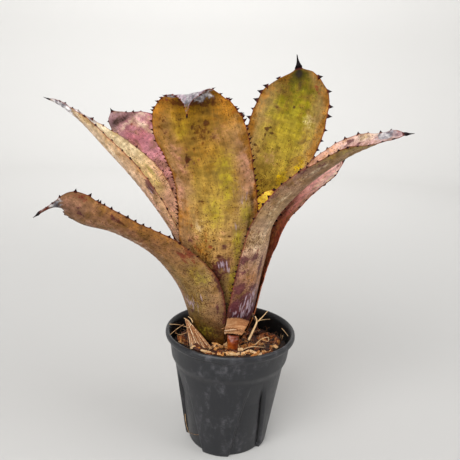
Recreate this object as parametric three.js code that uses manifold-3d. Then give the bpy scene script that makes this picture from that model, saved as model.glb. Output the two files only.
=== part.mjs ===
import * as THREE from 'three';
import { mergeVertices } from 'three/addons/utils/BufferGeometryUtils.js';
import Module from 'manifold-3d';

// Potted tank bromeliad, in millimetres, +Z up, front towards -Y.
// The origin is the centre of the pot's flat base.

// Pot
const POT_HEIGHT = 97;
const POT_BASE_RADIUS = 33.6;
const POT_BODY_TOP_RADIUS = 44.4;
const POT_BODY_HEIGHT = 70;
const COLLAR_FOOT_HEIGHT = 75.5;
const COLLAR_FOOT_RADIUS = 47.2;
const COLLAR_TOP_HEIGHT = 90;
const COLLAR_TOP_RADIUS = 49;
const LIP_RADIUS = 52.4;
// Rolled lip: how far below the rim and how far inside its widest, up the outside and down the inside
const LIP_PROFILE = [
  [5.5, 1],
  [3, 0],
  [0.8, 0.3],
  [0, 1.3],
  [0.6, 2.8],
  [3, 4.1],
];
const POT_WALL = 1.3;
const POT_FLOOR = 2;
const BODY_HEIGHTS = [12, 24, 36, 48, 60];
const INNER_BODY_TOP_HEIGHT = 69.2;
const INNER_COLLAR_FOOT_HEIGHT = 76.2;
const FLUTE_ANGLES = [-149, -59, 31, 121];
const FLUTE_TOP_HEIGHT = 68;
const FLUTE_DEPTH = 2.6;
const FLUTE_HALF_ANGLE = 24;
const FLUTE_TOP_HALF_ANGLE = 6;
const FLUTE_EDGE_ANGLE = 2.6;
const FLUTE_RUN_OUT = 0.3;
const FLUTE_STEPS = 5;
const LOBE_STEPS = 8;
const DRAIN_HOLE_COUNT = 6;
const DRAIN_HOLE_DIAMETER = 7;
const DRAIN_HOLE_CIRCLE_RADIUS = 19;
const DRAIN_HOLE_SIDES = 16;

// Potting medium
const MEDIUM_GAP = 0.35;
const MEDIUM_HEIGHT = 85.5;
const MEDIUM_FRONT_RISE = 0.17;
const MEDIUM_LOWEST = 76.5;
const MEDIUM_RING_COUNT = 5;
const MEDIUM_SEED = 20266;
// A ripple's height, then its turn per millimetre and its start, along x and along y
const MEDIUM_RIPPLE = { height: 0.8, alongX: 0.31, startX: 1.3, alongY: 0.27, startY: -0.4 };
const CLEAR_OF_PLANT = 23;
const CLEAR_OF_LARGE_CHIPS = 11;

// Small chips and fibres in the medium, each size between two limits
const SMALL_CHIP_COUNT = 26;
const SMALL_CHIP_LENGTH = [5, 9];
const SMALL_CHIP_WIDTH = [4, 7];
const SMALL_CHIP_THICKNESS = 3;
const SMALL_CHIP_TILT = [-25, 25];
const SMALL_CHIP_RISE = 0.6;
const SMALL_CHIP_WALL_CLEARANCE = 8.5;
const FIBRE_COUNT = 14;
const FIBRE_WIDTH = 0.9;
const FIBRE_REACH = [3, 7];
const FIBRE_RISE = [5, 10];
const FIBRE_ROOT = 2.5;
const FIBRE_BEND = 0.2;
const FIBRE_END_RISE = 0.8;
const FIBRE_STEPS = 4;
const FIBRE_WALL_CLEARANCE = 14;
const FULL_TURN = [0, 360];

// Plant axis and the flare of the tube that the leaf sheaths form round it
const PLANT_AXIS_X = -8;
const SHEATH_HEIGHTS = [80, 88, 96, 104, 112, 120];
const SHEATH_PROFILE = [
  [76, 11.5],
  [84, 14],
  [94, 20],
  [106, 25],
  [118, 28.5],
  [130, 31],
];
const SHEATH_LAYER_STEP = 1.7;
const SHEATH_STATION_GAP = 3;

// Leaf blade
const LEAF_THICKNESS = 1;
const LEAF_COLUMNS = 8;
const LEAF_MIN_HALF_WIDTH = 0.5;
const LEAF_MIN_ROLL = 2;
const TANGENT_STEP = 0.05;
const SHEATH_ROW_SPACING = 8;
const SPINE_SPACING = 12;
const SPINE_BASE = 2.6;
const SPINE_LENGTH = 3.2;
const SPINE_LEAN = 0.8;
const SPINE_LEAST_LENGTH = 0.6;
const SPINE_LENGTH_PER_HALF_WIDTH = 0.4;
const BARE_MARGIN_ABOVE_SHEATH = 6;

// Colours and roughness of what isn't a leaf or a large chip
const POT_COLOR = 0x2c2e31;
const MEDIUM_COLOR = 0x5a3519;
const STEM_COLOR = 0x5b4a2a;
const POT_ROUGHNESS = 0.5;
const LEAF_ROUGHNESS = 0.5;
const STEM_ROUGHNESS = 0.6;
const HUSK_ROUGHNESS = 0.8;
const MEDIUM_ROUGHNESS = 0.9;

// Leaves. The azimuth is the side of the plant axis that a leaf grows on, the layer counts
// inwards from the outermost sheath, and wrap is half the angle that the sheath spans.
// A blade station is the midrib's x, y, z, then half width, roll and turn in degrees.
const LEAVES = [
  {
    name: 'leaf_front_low_left', color: 0xa9814e, azimuth: 207, layer: 0, wrap: 71,
    start: 80, top: 112,
    blade: [
      [-40, -20, 140, 35, 60, -10],
      [-57, -28, 164, 28, 50, -14],
      [-83, -36, 182, 22, 46, -18],
      [-105, -44, 193, 19, 42, -36],
      [-117, -48, 203, 12, 38, -44],
      [-124, -50, 203, 4.5, 40, -30],
      [-131, -52, 200, 2.5, 40, 0],
    ],
    spineTip: [-138, -53, 195],
  },
  {
    name: 'leaf_right', color: 0xa28a70, azimuth: -20, layer: 1, wrap: 61,
    start: 80, top: 112,
    blade: [
      [19, -13, 140, 27.5, 52, 0],
      [22, -16.5, 164, 25.5, 45, 4],
      [27, -19, 190, 25, 47, 0],
      [42.5, -23, 213, 27, 52, -1],
      [63, -28, 233.5, 23.5, 54, -7],
      [83, -32, 248.5, 19.5, 46, -12],
      [98, -36, 257, 6.5, 30, -24],
      [108, -38, 260.5, 5.5, 22, -26],
    ],
    spineTip: [117, -40, 262],
  },
  {
    name: 'leaf_right_low', color: 0xb0795e, azimuth: 30, layer: 0, wrap: 46,
    start: 80, top: 112,
    blade: [
      [20, 20, 135, 24, 46, 0],
      [26, 21, 160, 25, 44, 0],
      [35, 21, 186, 26, 40, 0],
      [50, 22, 205, 25.5, 36, 0],
      [66, 24, 218, 21.5, 34, 0],
      [78, 24, 229, 13, 34, 0],
      [83, 22, 234, 5, 40, 0],
    ],
    spineTip: [85, 21, 238],
  },
  {
    name: 'leaf_back_left', color: 0xc7808a, azimuth: 122, layer: 1, wrap: 57,
    start: 80, top: 112,
    blade: [
      [-25, 28, 142, 28, 50, 0],
      [-34, 35, 170, 28, 42, 0],
      [-48, 42, 200, 28, 38, 0],
      [-68, 47, 227, 29, 36, 0],
      [-87, 51, 244, 26, 36, 0],
      [-102, 52, 256, 11, 36, 0],
    ],
    spineTip: [-108, 53, 265],
  },
  {
    name: 'leaf_front', color: 0xa58a3c, azimuth: 262, layer: 2, wrap: 62,
    start: 84, top: 120,
    blade: [
      [-12, -28, 146, 28, 54, 0],
      [-15, -32, 172, 31, 46, 0],
      [-15.5, -34, 200, 32, 41, 0],
      [-18.5, -36, 224, 31, 36, 0],
      [-26, -38, 247, 33, 33, 0],
      [-31, -40, 261, 32.5, 28, -3],
      [-33, -43, 274, 25, 20, -6],
      [-34, -49, 281, 13, 15, -12],
      [-35, -54, 277, 4, 15, -8],
    ],
    spineTip: [-35, -56, 266],
  },
  {
    name: 'leaf_left', color: 0xc9a477, azimuth: 176, layer: 3, wrap: 60,
    start: 88, top: 120,
    blade: [
      [-34, 1, 150, 20, 56, 0],
      [-52, 3, 180, 21, 60, 0],
      [-76, 5, 212, 29.5, 60, -1],
      [-103, 8, 239, 22.5, 58, -4],
      [-128, 11, 262, 7.5, 57, -10],
      [-144, 13, 271, 3.5, 50, -10],
    ],
    spineTip: [-150, 13, 273],
  },
  {
    name: 'leaf_back_right', color: 0xa9a03f, azimuth: 72, layer: 4, wrap: 58,
    start: 92, top: 120,
    blade: [
      [3, 22, 150, 17.5, 50, 0],
      [14, 29, 185, 21.5, 40, 0],
      [26.5, 33, 215, 27, 34, 0],
      [35, 38, 243, 31, 28, 0],
      [42, 41, 268, 30.5, 24, 0],
      [46, 44, 288, 24, 20, 0],
      [46, 45, 298, 13, 20, 0],
      [45, 46, 304, 4, 20, 0],
    ],
    spineTip: [43, 46, 314],
  },
  {
    name: 'leaf_heart', color: 0xc9b52f, azimuth: 312, layer: 5, wrap: 60,
    start: 96, top: 120,
    blade: [
      [8, -12, 152, 15, 56, 0],
      [14, -11, 178, 14, 45, 0],
      [20, -9, 197, 12, 35, 0],
      [25, -7, 209, 6, 30, 0],
    ],
    spineTip: [28, -6, 215],
  },
];

// Stem that the sheaths grow from: radius and height up its side
const STEM_PROFILE = [
  [7, 63.5],
  [9.8, 67],
  [9.8, 86],
  [10.4, 92],
  [9.5, 97],
  [5, 101],
];
const STEM_TOP_HEIGHT = 102;

// Plain hole in the medium that the plant stands in: radius and height up its side
const PLANT_HOLE_PROFILE = [
  [10.2, 63],
  [10.2, 77.5],
  [13.4, 79],
  [15.2, 84],
  [21, 94],
  [24, 100],
];

// Large husk chips that lie on top: four corners of the outer face in order, then thickness
const HUSK_CHIPS = [
  {
    name: 'husk_chip_square', color: 0xb5793c, thickness: 3,
    corners: [[-3, -32, 118], [14, -29, 116], [8.5, -30, 104.5], [-4.7, -30, 105.5]],
  },
  {
    name: 'husk_chip_glossy', color: 0x9a4f1c, thickness: 4,
    corners: [[-2.5, -29, 103.5], [6.5, -29, 103], [6, -30, 91], [-1.5, -30, 91]],
  },
  {
    name: 'husk_chip_fibrous', color: 0xcfa36a, thickness: 2.5,
    corners: [[-35, -15, 106], [-29.5, -19, 106], [-14, -27, 91.2], [-31, -26, 91]],
  },
];

const Z_AXIS = new THREE.Vector3(0, 0, 1);
const UP_AXIS_TURN = Math.PI / 2;
const LATHE_SIDES = 32;
const MERGE_DISTANCE = 1e-4;
const RANDOM_FACTOR = 1664525;
const RANDOM_STEP = 1013904223;
const RANDOM_RANGE = 2 ** 32;

const wasm = await Module();
wasm.setup();

const radians = THREE.MathUtils.degToRad;

// Seeded random numbers in [0, 1)
function makeRandom(seed) {
  let state = seed;
  return () => {
    state = (Math.imul(state, RANDOM_FACTOR) + RANDOM_STEP) >>> 0;
    return state / RANDOM_RANGE;
  };
}

// Straight-line reading of a table of [input, output] pairs
function readTable(table, input) {
  let index = 0;
  while (index < table.length - 2 && input > table[index + 1][0]) index += 1;
  const [x0, y0] = table[index];
  const [x1, y1] = table[index + 1];
  const share = THREE.MathUtils.clamp((input - x0) / (x1 - x0), 0, 1);
  return THREE.MathUtils.lerp(y0, y1, share);
}

// A closed mesh as a boolean solid
function toSolid(geometry) {
  const bare = geometry.clone();
  bare.deleteAttribute('normal');
  bare.deleteAttribute('uv');
  const merged = mergeVertices(bare, MERGE_DISTANCE);
  return new wasm.Manifold(new wasm.Mesh({
    numProp: 3,
    vertProperties: new Float32Array(merged.attributes.position.array),
    triVerts: new Uint32Array(merged.index.array),
  }));
}

function fromSolid(solid) {
  const mesh = solid.getMesh();
  const geometry = new THREE.BufferGeometry();
  geometry.setAttribute('position', new THREE.Float32BufferAttribute(mesh.vertProperties, 3));
  geometry.setIndex(Array.from(mesh.triVerts));
  return geometry;
}

function meshFrom(name, color, geometry, roughness) {
  const material = new THREE.MeshStandardMaterial({ color, roughness, metalness: 0 });
  const mesh = new THREE.Mesh(geometry, material);
  mesh.name = name;
  return mesh;
}

function geometryFrom(points, triangles) {
  const geometry = new THREE.BufferGeometry();
  geometry.setAttribute('position', new THREE.Float32BufferAttribute(points.flat(), 3));
  geometry.setIndex(triangles.flat());
  return geometry;
}

// A surface of revolution about +Z from [radius, height] pairs, closed on the axis
function latheAboutZ(profile) {
  const points = profile.map(([radius, height]) => new THREE.Vector2(radius, height));
  return new THREE.LatheGeometry(points, LATHE_SIDES).rotateX(UP_AXIS_TURN);
}

// Pot wall. Each ring is [height, outer radius]; flutes press the body's wall inwards.
function bodyRadius(height) {
  return THREE.MathUtils.lerp(POT_BASE_RADIUS, POT_BODY_TOP_RADIUS, height / POT_BODY_HEIGHT);
}

function fluteShare(height) {
  return THREE.MathUtils.clamp(1 - height / FLUTE_TOP_HEIGHT, 0, 1);
}

function fluteHalfAngle(height) {
  return THREE.MathUtils.lerp(FLUTE_TOP_HALF_ANGLE, FLUTE_HALF_ANGLE, fluteShare(height));
}

// A flute is a pressed-in panel of even depth with steep edges, running out at its top
function fluteDepth(angle, height) {
  const most = FLUTE_DEPTH * Math.min(1, fluteShare(height) / FLUTE_RUN_OUT);
  let depth = 0;
  for (const centre of FLUTE_ANGLES) {
    const offset = Math.abs(((angle - centre + 540) % 360) - 180);
    const beyond = (offset - fluteHalfAngle(height)) / FLUTE_EDGE_ANGLE;
    depth = Math.max(depth, most * THREE.MathUtils.clamp(1 - beyond, 0, 1));
  }
  return depth;
}

// Angles round the pot at a height, from its left towards the right: each flute, its edges, then a lobe
function ringAngles(height) {
  const half = fluteHalfAngle(height);
  const lobe = 360 / FLUTE_ANGLES.length - 2 * (half + FLUTE_EDGE_ANGLE);
  const angles = [];
  for (const centre of FLUTE_ANGLES) {
    for (let step = 0; step <= FLUTE_STEPS; step += 1) {
      angles.push(centre + half * ((2 * step) / FLUTE_STEPS - 1));
    }
    for (let step = 0; step <= LOBE_STEPS; step += 1) {
      angles.push(centre + half + FLUTE_EDGE_ANGLE + (lobe * step) / LOBE_STEPS);
    }
  }
  return angles;
}

function ringPoint(angle, height, radius) {
  const turn = radians(angle);
  const r = radius - fluteDepth(angle, height);
  return [r * Math.sin(turn), -r * Math.cos(turn), height];
}

// Rings stacked into one closed skin, with a fan at each end. Each four-sided patch is split
// from its lower corner to its upper corner on the right, so that facing walls stay parallel.
function skinFromRings(rings, firstCentre, lastCentre) {
  const count = rings[0].length;
  const points = rings.flat();
  points.push(firstCentre, lastCentre);
  const triangles = [];
  for (let side = 0; side < count; side += 1) {
    const next = (side + 1) % count;
    for (let ring = 0; ring < rings.length - 1; ring += 1) {
      const a = ring * count + side;
      const b = ring * count + next;
      const c = b + count;
      const d = a + count;
      const climbs = points[d][2] >= points[a][2];
      if (climbs) triangles.push([a, b, c], [a, c, d]);
      else triangles.push([a, b, d], [b, c, d]);
    }
    const last = (rings.length - 1) * count;
    triangles.push([rings.length * count, next, side]);
    triangles.push([rings.length * count + 1, last + side, last + next]);
  }
  return geometryFrom(points, triangles);
}

function innerWallRings() {
  return [
    [POT_FLOOR, bodyRadius(POT_FLOOR) - POT_WALL],
    ...BODY_HEIGHTS.map((height) => [height, bodyRadius(height) - POT_WALL]),
    [INNER_BODY_TOP_HEIGHT, POT_BODY_TOP_RADIUS - POT_WALL],
    [INNER_COLLAR_FOOT_HEIGHT, COLLAR_FOOT_RADIUS - POT_WALL],
    [COLLAR_TOP_HEIGHT, COLLAR_TOP_RADIUS - POT_WALL],
  ];
}

function makePot() {
  const outer = [
    [0, POT_BASE_RADIUS],
    ...BODY_HEIGHTS.map((height) => [height, bodyRadius(height)]),
    [POT_BODY_HEIGHT, POT_BODY_TOP_RADIUS],
    [COLLAR_FOOT_HEIGHT, COLLAR_FOOT_RADIUS],
    [COLLAR_TOP_HEIGHT, COLLAR_TOP_RADIUS],
    ...LIP_PROFILE.map(([below, inside]) => [POT_HEIGHT - below, LIP_RADIUS - inside]),
  ];
  const inner = innerWallRings().reverse();
  const rings = [...outer, ...inner].map(
    ([height, radius]) => ringAngles(height).map((angle) => ringPoint(angle, height, radius)),
  );
  let solid = toSolid(skinFromRings(rings, [0, 0, 0], [0, 0, POT_FLOOR]));
  for (let hole = 0; hole < DRAIN_HOLE_COUNT; hole += 1) {
    const turn = (hole / DRAIN_HOLE_COUNT) * 2 * Math.PI;
    const drill = new THREE.CylinderGeometry(
      DRAIN_HOLE_DIAMETER / 2,
      DRAIN_HOLE_DIAMETER / 2,
      3 * POT_FLOOR,
      DRAIN_HOLE_SIDES,
    );
    drill.rotateX(UP_AXIS_TURN);
    drill.translate(
      DRAIN_HOLE_CIRCLE_RADIUS * Math.cos(turn),
      DRAIN_HOLE_CIRCLE_RADIUS * Math.sin(turn),
      POT_FLOOR / 2,
    );
    solid = solid.subtract(toSolid(drill));
  }
  return meshFrom('pot', POT_COLOR, fromSolid(solid), POT_ROUGHNESS);
}

// Height of the medium's surface, with a rise towards the front and a slow ripple
function mediumHeight(x, y) {
  const { height, alongX, startX, alongY, startY } = MEDIUM_RIPPLE;
  const ripple = Math.sin(x * alongX + startX) * Math.cos(y * alongY + startY);
  return MEDIUM_HEIGHT - y * MEDIUM_FRONT_RISE + ripple * height;
}

function mediumBed() {
  const walls = innerWallRings();
  const side = walls.slice(0, -1).map(([height, radius], index) => {
    const level = index === 0 ? height + MEDIUM_GAP : height;
    return ringAngles(level).map((angle) => ringPoint(angle, level, radius - MEDIUM_GAP));
  });
  const rimRadius = readTable(walls.slice(-2), MEDIUM_LOWEST) - MEDIUM_GAP;
  const top = [];
  for (let ring = 0; ring < MEDIUM_RING_COUNT; ring += 1) {
    const radius = (rimRadius * (MEDIUM_RING_COUNT - ring)) / MEDIUM_RING_COUNT;
    top.push(ringAngles(POT_HEIGHT).map((angle) => {
      const [x, y] = ringPoint(angle, POT_HEIGHT, radius);
      return [x, y, mediumHeight(x, y)];
    }));
  }
  const floor = [0, 0, POT_FLOOR + MEDIUM_GAP];
  return toSolid(skinFromRings([...side, ...top], floor, [0, 0, mediumHeight(0, 0)]));
}

function between(random, [low, high]) {
  return THREE.MathUtils.lerp(low, high, random());
}

// A random place on the surface between the plant and the wall
function surfacePlace(random, clearance) {
  const reach = COLLAR_FOOT_RADIUS - clearance;
  for (;;) {
    const x = between(random, [-reach, reach]);
    const y = between(random, [-reach, reach]);
    const fromPlant = Math.hypot(x - PLANT_AXIS_X, y);
    if (Math.hypot(x, y) < reach && fromPlant > CLEAR_OF_PLANT && !underChip(x, y)) {
      return [x, y, mediumHeight(x, y)];
    }
  }
}

// Places that the large chips cover
function underChip(x, y) {
  return HUSK_CHIPS.some(({ corners }) => corners.some(
    ([cx, cy]) => Math.hypot(x - cx, y - cy) < CLEAR_OF_LARGE_CHIPS,
  ));
}

function smallChip(random) {
  const [x, y, z] = surfacePlace(random, SMALL_CHIP_WALL_CLEARANCE);
  const length = between(random, SMALL_CHIP_LENGTH);
  const chip = new THREE.BoxGeometry(length, between(random, SMALL_CHIP_WIDTH), SMALL_CHIP_THICKNESS);
  chip.rotateX(radians(between(random, SMALL_CHIP_TILT)));
  chip.rotateY(radians(between(random, SMALL_CHIP_TILT)));
  chip.rotateZ(radians(between(random, FULL_TURN)));
  chip.translate(x, y, z + SMALL_CHIP_RISE);
  return toSolid(chip);
}

// A fibre that leaves the surface, bends over and ends in the air
function fibre(random) {
  const [x, y, z] = surfacePlace(random, FIBRE_WALL_CLEARANCE);
  const turn = radians(between(random, FULL_TURN));
  const reach = between(random, FIBRE_REACH);
  const rise = between(random, FIBRE_RISE);
  const dx = Math.cos(turn) * reach;
  const dy = Math.sin(turn) * reach;
  const path = new THREE.QuadraticBezierCurve3(
    new THREE.Vector3(x, y, z - FIBRE_ROOT),
    new THREE.Vector3(x + dx * FIBRE_BEND, y + dy * FIBRE_BEND, z + rise),
    new THREE.Vector3(x + dx, y + dy, z + rise * FIBRE_END_RISE),
  );
  const half = FIBRE_WIDTH / 2;
  const section = new THREE.Shape([
    new THREE.Vector2(-half, -half),
    new THREE.Vector2(half, -half),
    new THREE.Vector2(0, half),
  ]);
  const options = { steps: FIBRE_STEPS, bevelEnabled: false, extrudePath: path };
  return toSolid(new THREE.ExtrudeGeometry(section, options));
}

function makeMedium() {
  const random = makeRandom(MEDIUM_SEED);
  let solid = mediumBed();
  for (let index = 0; index < SMALL_CHIP_COUNT; index += 1) solid = solid.add(smallChip(random));
  for (let index = 0; index < FIBRE_COUNT; index += 1) solid = solid.add(fibre(random));
  const first = [0, PLANT_HOLE_PROFILE[0][1]];
  const last = [0, PLANT_HOLE_PROFILE[PLANT_HOLE_PROFILE.length - 1][1]];
  const hole = latheAboutZ([first, ...PLANT_HOLE_PROFILE, last]).translate(PLANT_AXIS_X, 0, 0);
  const bed = fromSolid(solid.subtract(toSolid(hole)));
  return meshFrom('potting_medium', MEDIUM_COLOR, bed, MEDIUM_ROUGHNESS);
}

function makeStem() {
  const first = [0, STEM_PROFILE[0][1]];
  const profile = [first, ...STEM_PROFILE, [0, STEM_TOP_HEIGHT]];
  const body = latheAboutZ(profile).translate(PLANT_AXIS_X, 0, 0);
  return meshFrom('stem', STEM_COLOR, body, STEM_ROUGHNESS);
}

// A flat chip: its outer face has the four corners given, and its back lies behind them
function makeHuskChip({ name, color, thickness, corners }) {
  const front = corners.map((corner) => new THREE.Vector3(...corner));
  const across = front[1].clone().sub(front[0]);
  const down = front[3].clone().sub(front[0]);
  const behind = across.cross(down).normalize().multiplyScalar(-thickness);
  if (behind.y < 0) behind.negate();
  const points = [...front, ...front.map((corner) => corner.clone().add(behind))];
  const triangles = [[0, 3, 1], [1, 3, 2], [4, 5, 7], [5, 6, 7]];
  for (let side = 0; side < 4; side += 1) {
    const next = (side + 1) % 4;
    triangles.push([side, next, next + 4], [side, next + 4, side + 4]);
  }
  const geometry = geometryFrom(points.map((point) => point.toArray()), triangles);
  return meshFrom(name, color, geometry, HUSK_ROUGHNESS);
}

// The midrib and its width, roll and turn as smooth curves of the length along it.
// The curves are cubic, with the slope at each station averaged from its two sides.
function makeTrack(stations) {
  const knots = [0];
  for (let index = 1; index < stations.length; index += 1) {
    const [x0, y0, z0] = stations[index - 1];
    const [x1, y1, z1] = stations[index];
    knots.push(knots[index - 1] + Math.hypot(x1 - x0, y1 - y0, z1 - z0));
  }
  const rates = stations.slice(1).map((row, index) => row.map(
    (value, column) => (value - stations[index][column]) / (knots[index + 1] - knots[index]),
  ));
  const slopes = stations.map((row, index) => {
    if (index === 0) return rates[0];
    if (index === stations.length - 1) return rates[index - 1];
    const before = knots[index] - knots[index - 1];
    const after = knots[index + 1] - knots[index];
    return row.map((_, column) => (
      (rates[index - 1][column] * after + rates[index][column] * before) / (before + after)
    ));
  });
  const read = (length) => {
    let index = 0;
    while (index < knots.length - 2 && length > knots[index + 1]) index += 1;
    const span = knots[index + 1] - knots[index];
    const f = THREE.MathUtils.clamp((length - knots[index]) / span, 0, 1);
    const startWeight = 2 * f ** 3 - 3 * f ** 2 + 1;
    const startSlope = (f ** 3 - 2 * f ** 2 + f) * span;
    const endWeight = 3 * f ** 2 - 2 * f ** 3;
    const endSlope = (f ** 3 - f ** 2) * span;
    return stations[index].map((value, column) => (
      startWeight * value + startSlope * slopes[index][column]
      + endWeight * stations[index + 1][column] + endSlope * slopes[index + 1][column]
    ));
  };
  return { knots, read };
}

// Sheath stations lie on the flared tube round the plant axis, and blade stations follow
function leafStations(leaf, outward) {
  const heights = [leaf.start, ...SHEATH_HEIGHTS.filter(
    (height) => height > leaf.start + SHEATH_STATION_GAP && height <= leaf.top,
  )];
  const sheath = heights.map((height) => {
    const radius = readTable(SHEATH_PROFILE, height) - SHEATH_LAYER_STEP * leaf.layer;
    const halfWidth = radius * radians(leaf.wrap);
    const x = PLANT_AXIS_X + radius * outward.x;
    return [x, radius * outward.y, height, halfWidth, leaf.wrap, 0];
  });
  return { stations: [...sheath, ...leaf.blade], sheathCount: heights.length };
}

// Lengths at which the leaf has a row of points: even ones up the sheath, then a pair of
// rows at each marginal spine
function rowLengths(track, sheathCount) {
  const sheathEnd = track.knots[sheathCount - 1];
  const end = track.knots[track.knots.length - 1];
  const rows = [];
  const sheathRows = Math.round(sheathEnd / SHEATH_ROW_SPACING);
  for (let row = 0; row <= sheathRows; row += 1) rows.push((sheathEnd * row) / sheathRows);
  const bladeStart = sheathEnd + BARE_MARGIN_ABOVE_SHEATH;
  const spineCount = Math.round((end - bladeStart) / SPINE_SPACING);
  const spacing = (end - bladeStart) / spineCount;
  const spines = [];
  for (let spine = 0; spine < spineCount; spine += 1) {
    const middle = bladeStart + spacing * (spine + 0.5);
    spines.push(rows.length);
    rows.push(middle - SPINE_BASE / 2, middle + SPINE_BASE / 2);
  }
  rows.push(end);
  return { rows, spines };
}

// Directions at one length: along the leaf, across it and towards its inner face.
// In the sheath the rows stay level, and in the blade they stand square to the midrib.
function leafFrame(track, length, outward, sheathCount) {
  const ahead = new THREE.Vector3(...track.read(length + TANGENT_STEP).slice(0, 3));
  const behind = new THREE.Vector3(...track.read(length - TANGENT_STEP).slice(0, 3));
  const tangent = ahead.sub(behind).normalize();
  const from = track.knots[sheathCount - 1];
  const freedom = THREE.MathUtils.smoothstep(length, from, track.knots[sheathCount]);
  const along = Z_AXIS.clone().lerp(tangent, freedom).normalize();
  const pitch = Math.atan2(along.dot(outward), along.z);
  const inward = outward.clone().multiplyScalar(-Math.cos(pitch));
  inward.z += Math.sin(pitch);
  const across = along.clone().cross(inward).normalize();
  return { along, across, inner: across.clone().cross(along) };
}

// One row: points on the outer and the inner face from margin to margin, along an arc
function leafRow(track, length, outward, sheathCount) {
  const [x, y, z, halfWidth, roll, turn] = track.read(length);
  const frame = leafFrame(track, length, outward, sheathCount);
  const twist = radians(turn);
  const across = frame.across.clone().multiplyScalar(Math.cos(twist))
    .addScaledVector(frame.inner, Math.sin(twist));
  const inner = frame.inner.clone().multiplyScalar(Math.cos(twist))
    .addScaledVector(frame.across, -Math.sin(twist));
  const arc = radians(Math.max(roll, LEAF_MIN_ROLL));
  const radius = Math.max(halfWidth, LEAF_MIN_HALF_WIDTH) / arc;
  const face = (offset) => {
    const points = [];
    for (let column = 0; column <= LEAF_COLUMNS; column += 1) {
      const angle = arc * ((2 * column) / LEAF_COLUMNS - 1);
      points.push(new THREE.Vector3(x, y, z)
        .addScaledVector(across, (radius - offset) * Math.sin(angle))
        .addScaledVector(inner, radius - (radius - offset) * Math.cos(angle)));
    }
    return points;
  };
  const outFrom = (side) => across.clone().multiplyScalar(side * Math.cos(arc))
    .addScaledVector(inner, Math.sin(arc));
  return {
    outerFace: face(-LEAF_THICKNESS / 2),
    innerFace: face(LEAF_THICKNESS / 2),
    marginOut: [outFrom(-1), outFrom(1)],
    along: frame.along,
    halfWidth,
  };
}

// A leaf: two faces alike, closed by its margins, its base and a spine at the tip.
// A marginal spine is a pyramid on the stretch of margin between two rows.
function makeLeaf(leaf) {
  const azimuth = radians(leaf.azimuth);
  const outward = new THREE.Vector3(Math.cos(azimuth), Math.sin(azimuth), 0);
  const { stations, sheathCount } = leafStations(leaf, outward);
  const track = makeTrack(stations);
  const { rows: lengths, spines } = rowLengths(track, sheathCount);
  const rows = lengths.map((length) => leafRow(track, length, outward, sheathCount));
  const columns = LEAF_COLUMNS + 1;
  const points = rows.flatMap((row) => [...row.outerFace, ...row.innerFace]);
  const outer = (row, column) => row * 2 * columns + column;
  const inner = (row, column) => outer(row, column) + columns;
  const triangles = [];
  const quad = (a, b, c, d) => triangles.push([a, b, c], [a, c, d]);

  for (let row = 0; row < rows.length - 1; row += 1) {
    for (let column = 0; column < LEAF_COLUMNS; column += 1) {
      const next = column + 1;
      triangles.push([outer(row, column), outer(row + 1, next), outer(row, next)]);
      triangles.push([outer(row, column), outer(row + 1, column), outer(row + 1, next)]);
      triangles.push([inner(row, column), inner(row, next), inner(row + 1, next)]);
      triangles.push([inner(row, column), inner(row + 1, next), inner(row + 1, column)]);
    }
    [0, LEAF_COLUMNS].forEach((column, side) => {
      let ring = [
        outer(row, column), inner(row, column), inner(row + 1, column), outer(row + 1, column),
      ];
      if (side === 1) ring = ring.reverse();
      if (!spines.includes(row)) {
        quad(...ring);
        return;
      }
      const room = SPINE_LEAST_LENGTH + SPINE_LENGTH_PER_HALF_WIDTH * rows[row].halfWidth;
      const reach = Math.min(SPINE_LENGTH, room);
      const apex = ring.reduce((sum, index) => sum.add(points[index]), new THREE.Vector3())
        .multiplyScalar(0.25)
        .addScaledVector(rows[row].marginOut[side], reach)
        .addScaledVector(rows[row].along, SPINE_LEAN);
      const tip = points.push(apex) - 1;
      ring.forEach((index, corner) => triangles.push([index, ring[(corner + 1) % 4], tip]));
    });
  }

  const last = rows.length - 1;
  for (let column = 0; column < LEAF_COLUMNS; column += 1) {
    quad(outer(0, column), outer(0, column + 1), inner(0, column + 1), inner(0, column));
  }
  const rim = [];
  for (let column = 0; column <= LEAF_COLUMNS; column += 1) rim.push(outer(last, column));
  for (let column = LEAF_COLUMNS; column >= 0; column -= 1) rim.push(inner(last, column));
  const tip = points.push(new THREE.Vector3(...leaf.spineTip)) - 1;
  rim.forEach((index, corner) => triangles.push([index, tip, rim[(corner + 1) % rim.length]]));

  const geometry = geometryFrom(points.map((point) => point.toArray()), triangles);
  return meshFrom(leaf.name, leaf.color, geometry, LEAF_ROUGHNESS);
}

const plant = new THREE.Group();
plant.add(makePot());
plant.add(makeMedium());
plant.add(makeStem());
HUSK_CHIPS.forEach((chip) => plant.add(makeHuskChip(chip)));
LEAVES.forEach((leaf) => plant.add(makeLeaf(leaf)));

export default plant;
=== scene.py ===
"""Potted tank bromeliad: eight stiff spiny leaves in a black nursery pot of husk chips, on a pale stage.

Sizes in the tables below are in millimetres, as on a drawing. Meshes are made in metres.
"""

import math
from functools import partial

import bpy
import numpy as np
from mathutils import Matrix, Vector


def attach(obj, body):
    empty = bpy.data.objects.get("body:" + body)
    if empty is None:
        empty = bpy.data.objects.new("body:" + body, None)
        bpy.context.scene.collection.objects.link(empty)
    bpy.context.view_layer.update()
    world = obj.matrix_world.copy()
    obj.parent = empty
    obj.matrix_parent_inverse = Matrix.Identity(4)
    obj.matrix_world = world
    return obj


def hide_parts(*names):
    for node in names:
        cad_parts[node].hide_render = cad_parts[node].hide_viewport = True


bl_info = {
    "name": "Potted tank bromeliad",
    "version": (1, 0, 0),
    "blender": (4, 5, 0),
    "location": "3D View > Sidebar > Bromeliad",
    "description": "Makes a spiny tank bromeliad in a nursery pot, with its soft studio stage",
    "category": "Add Mesh",
}

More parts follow.
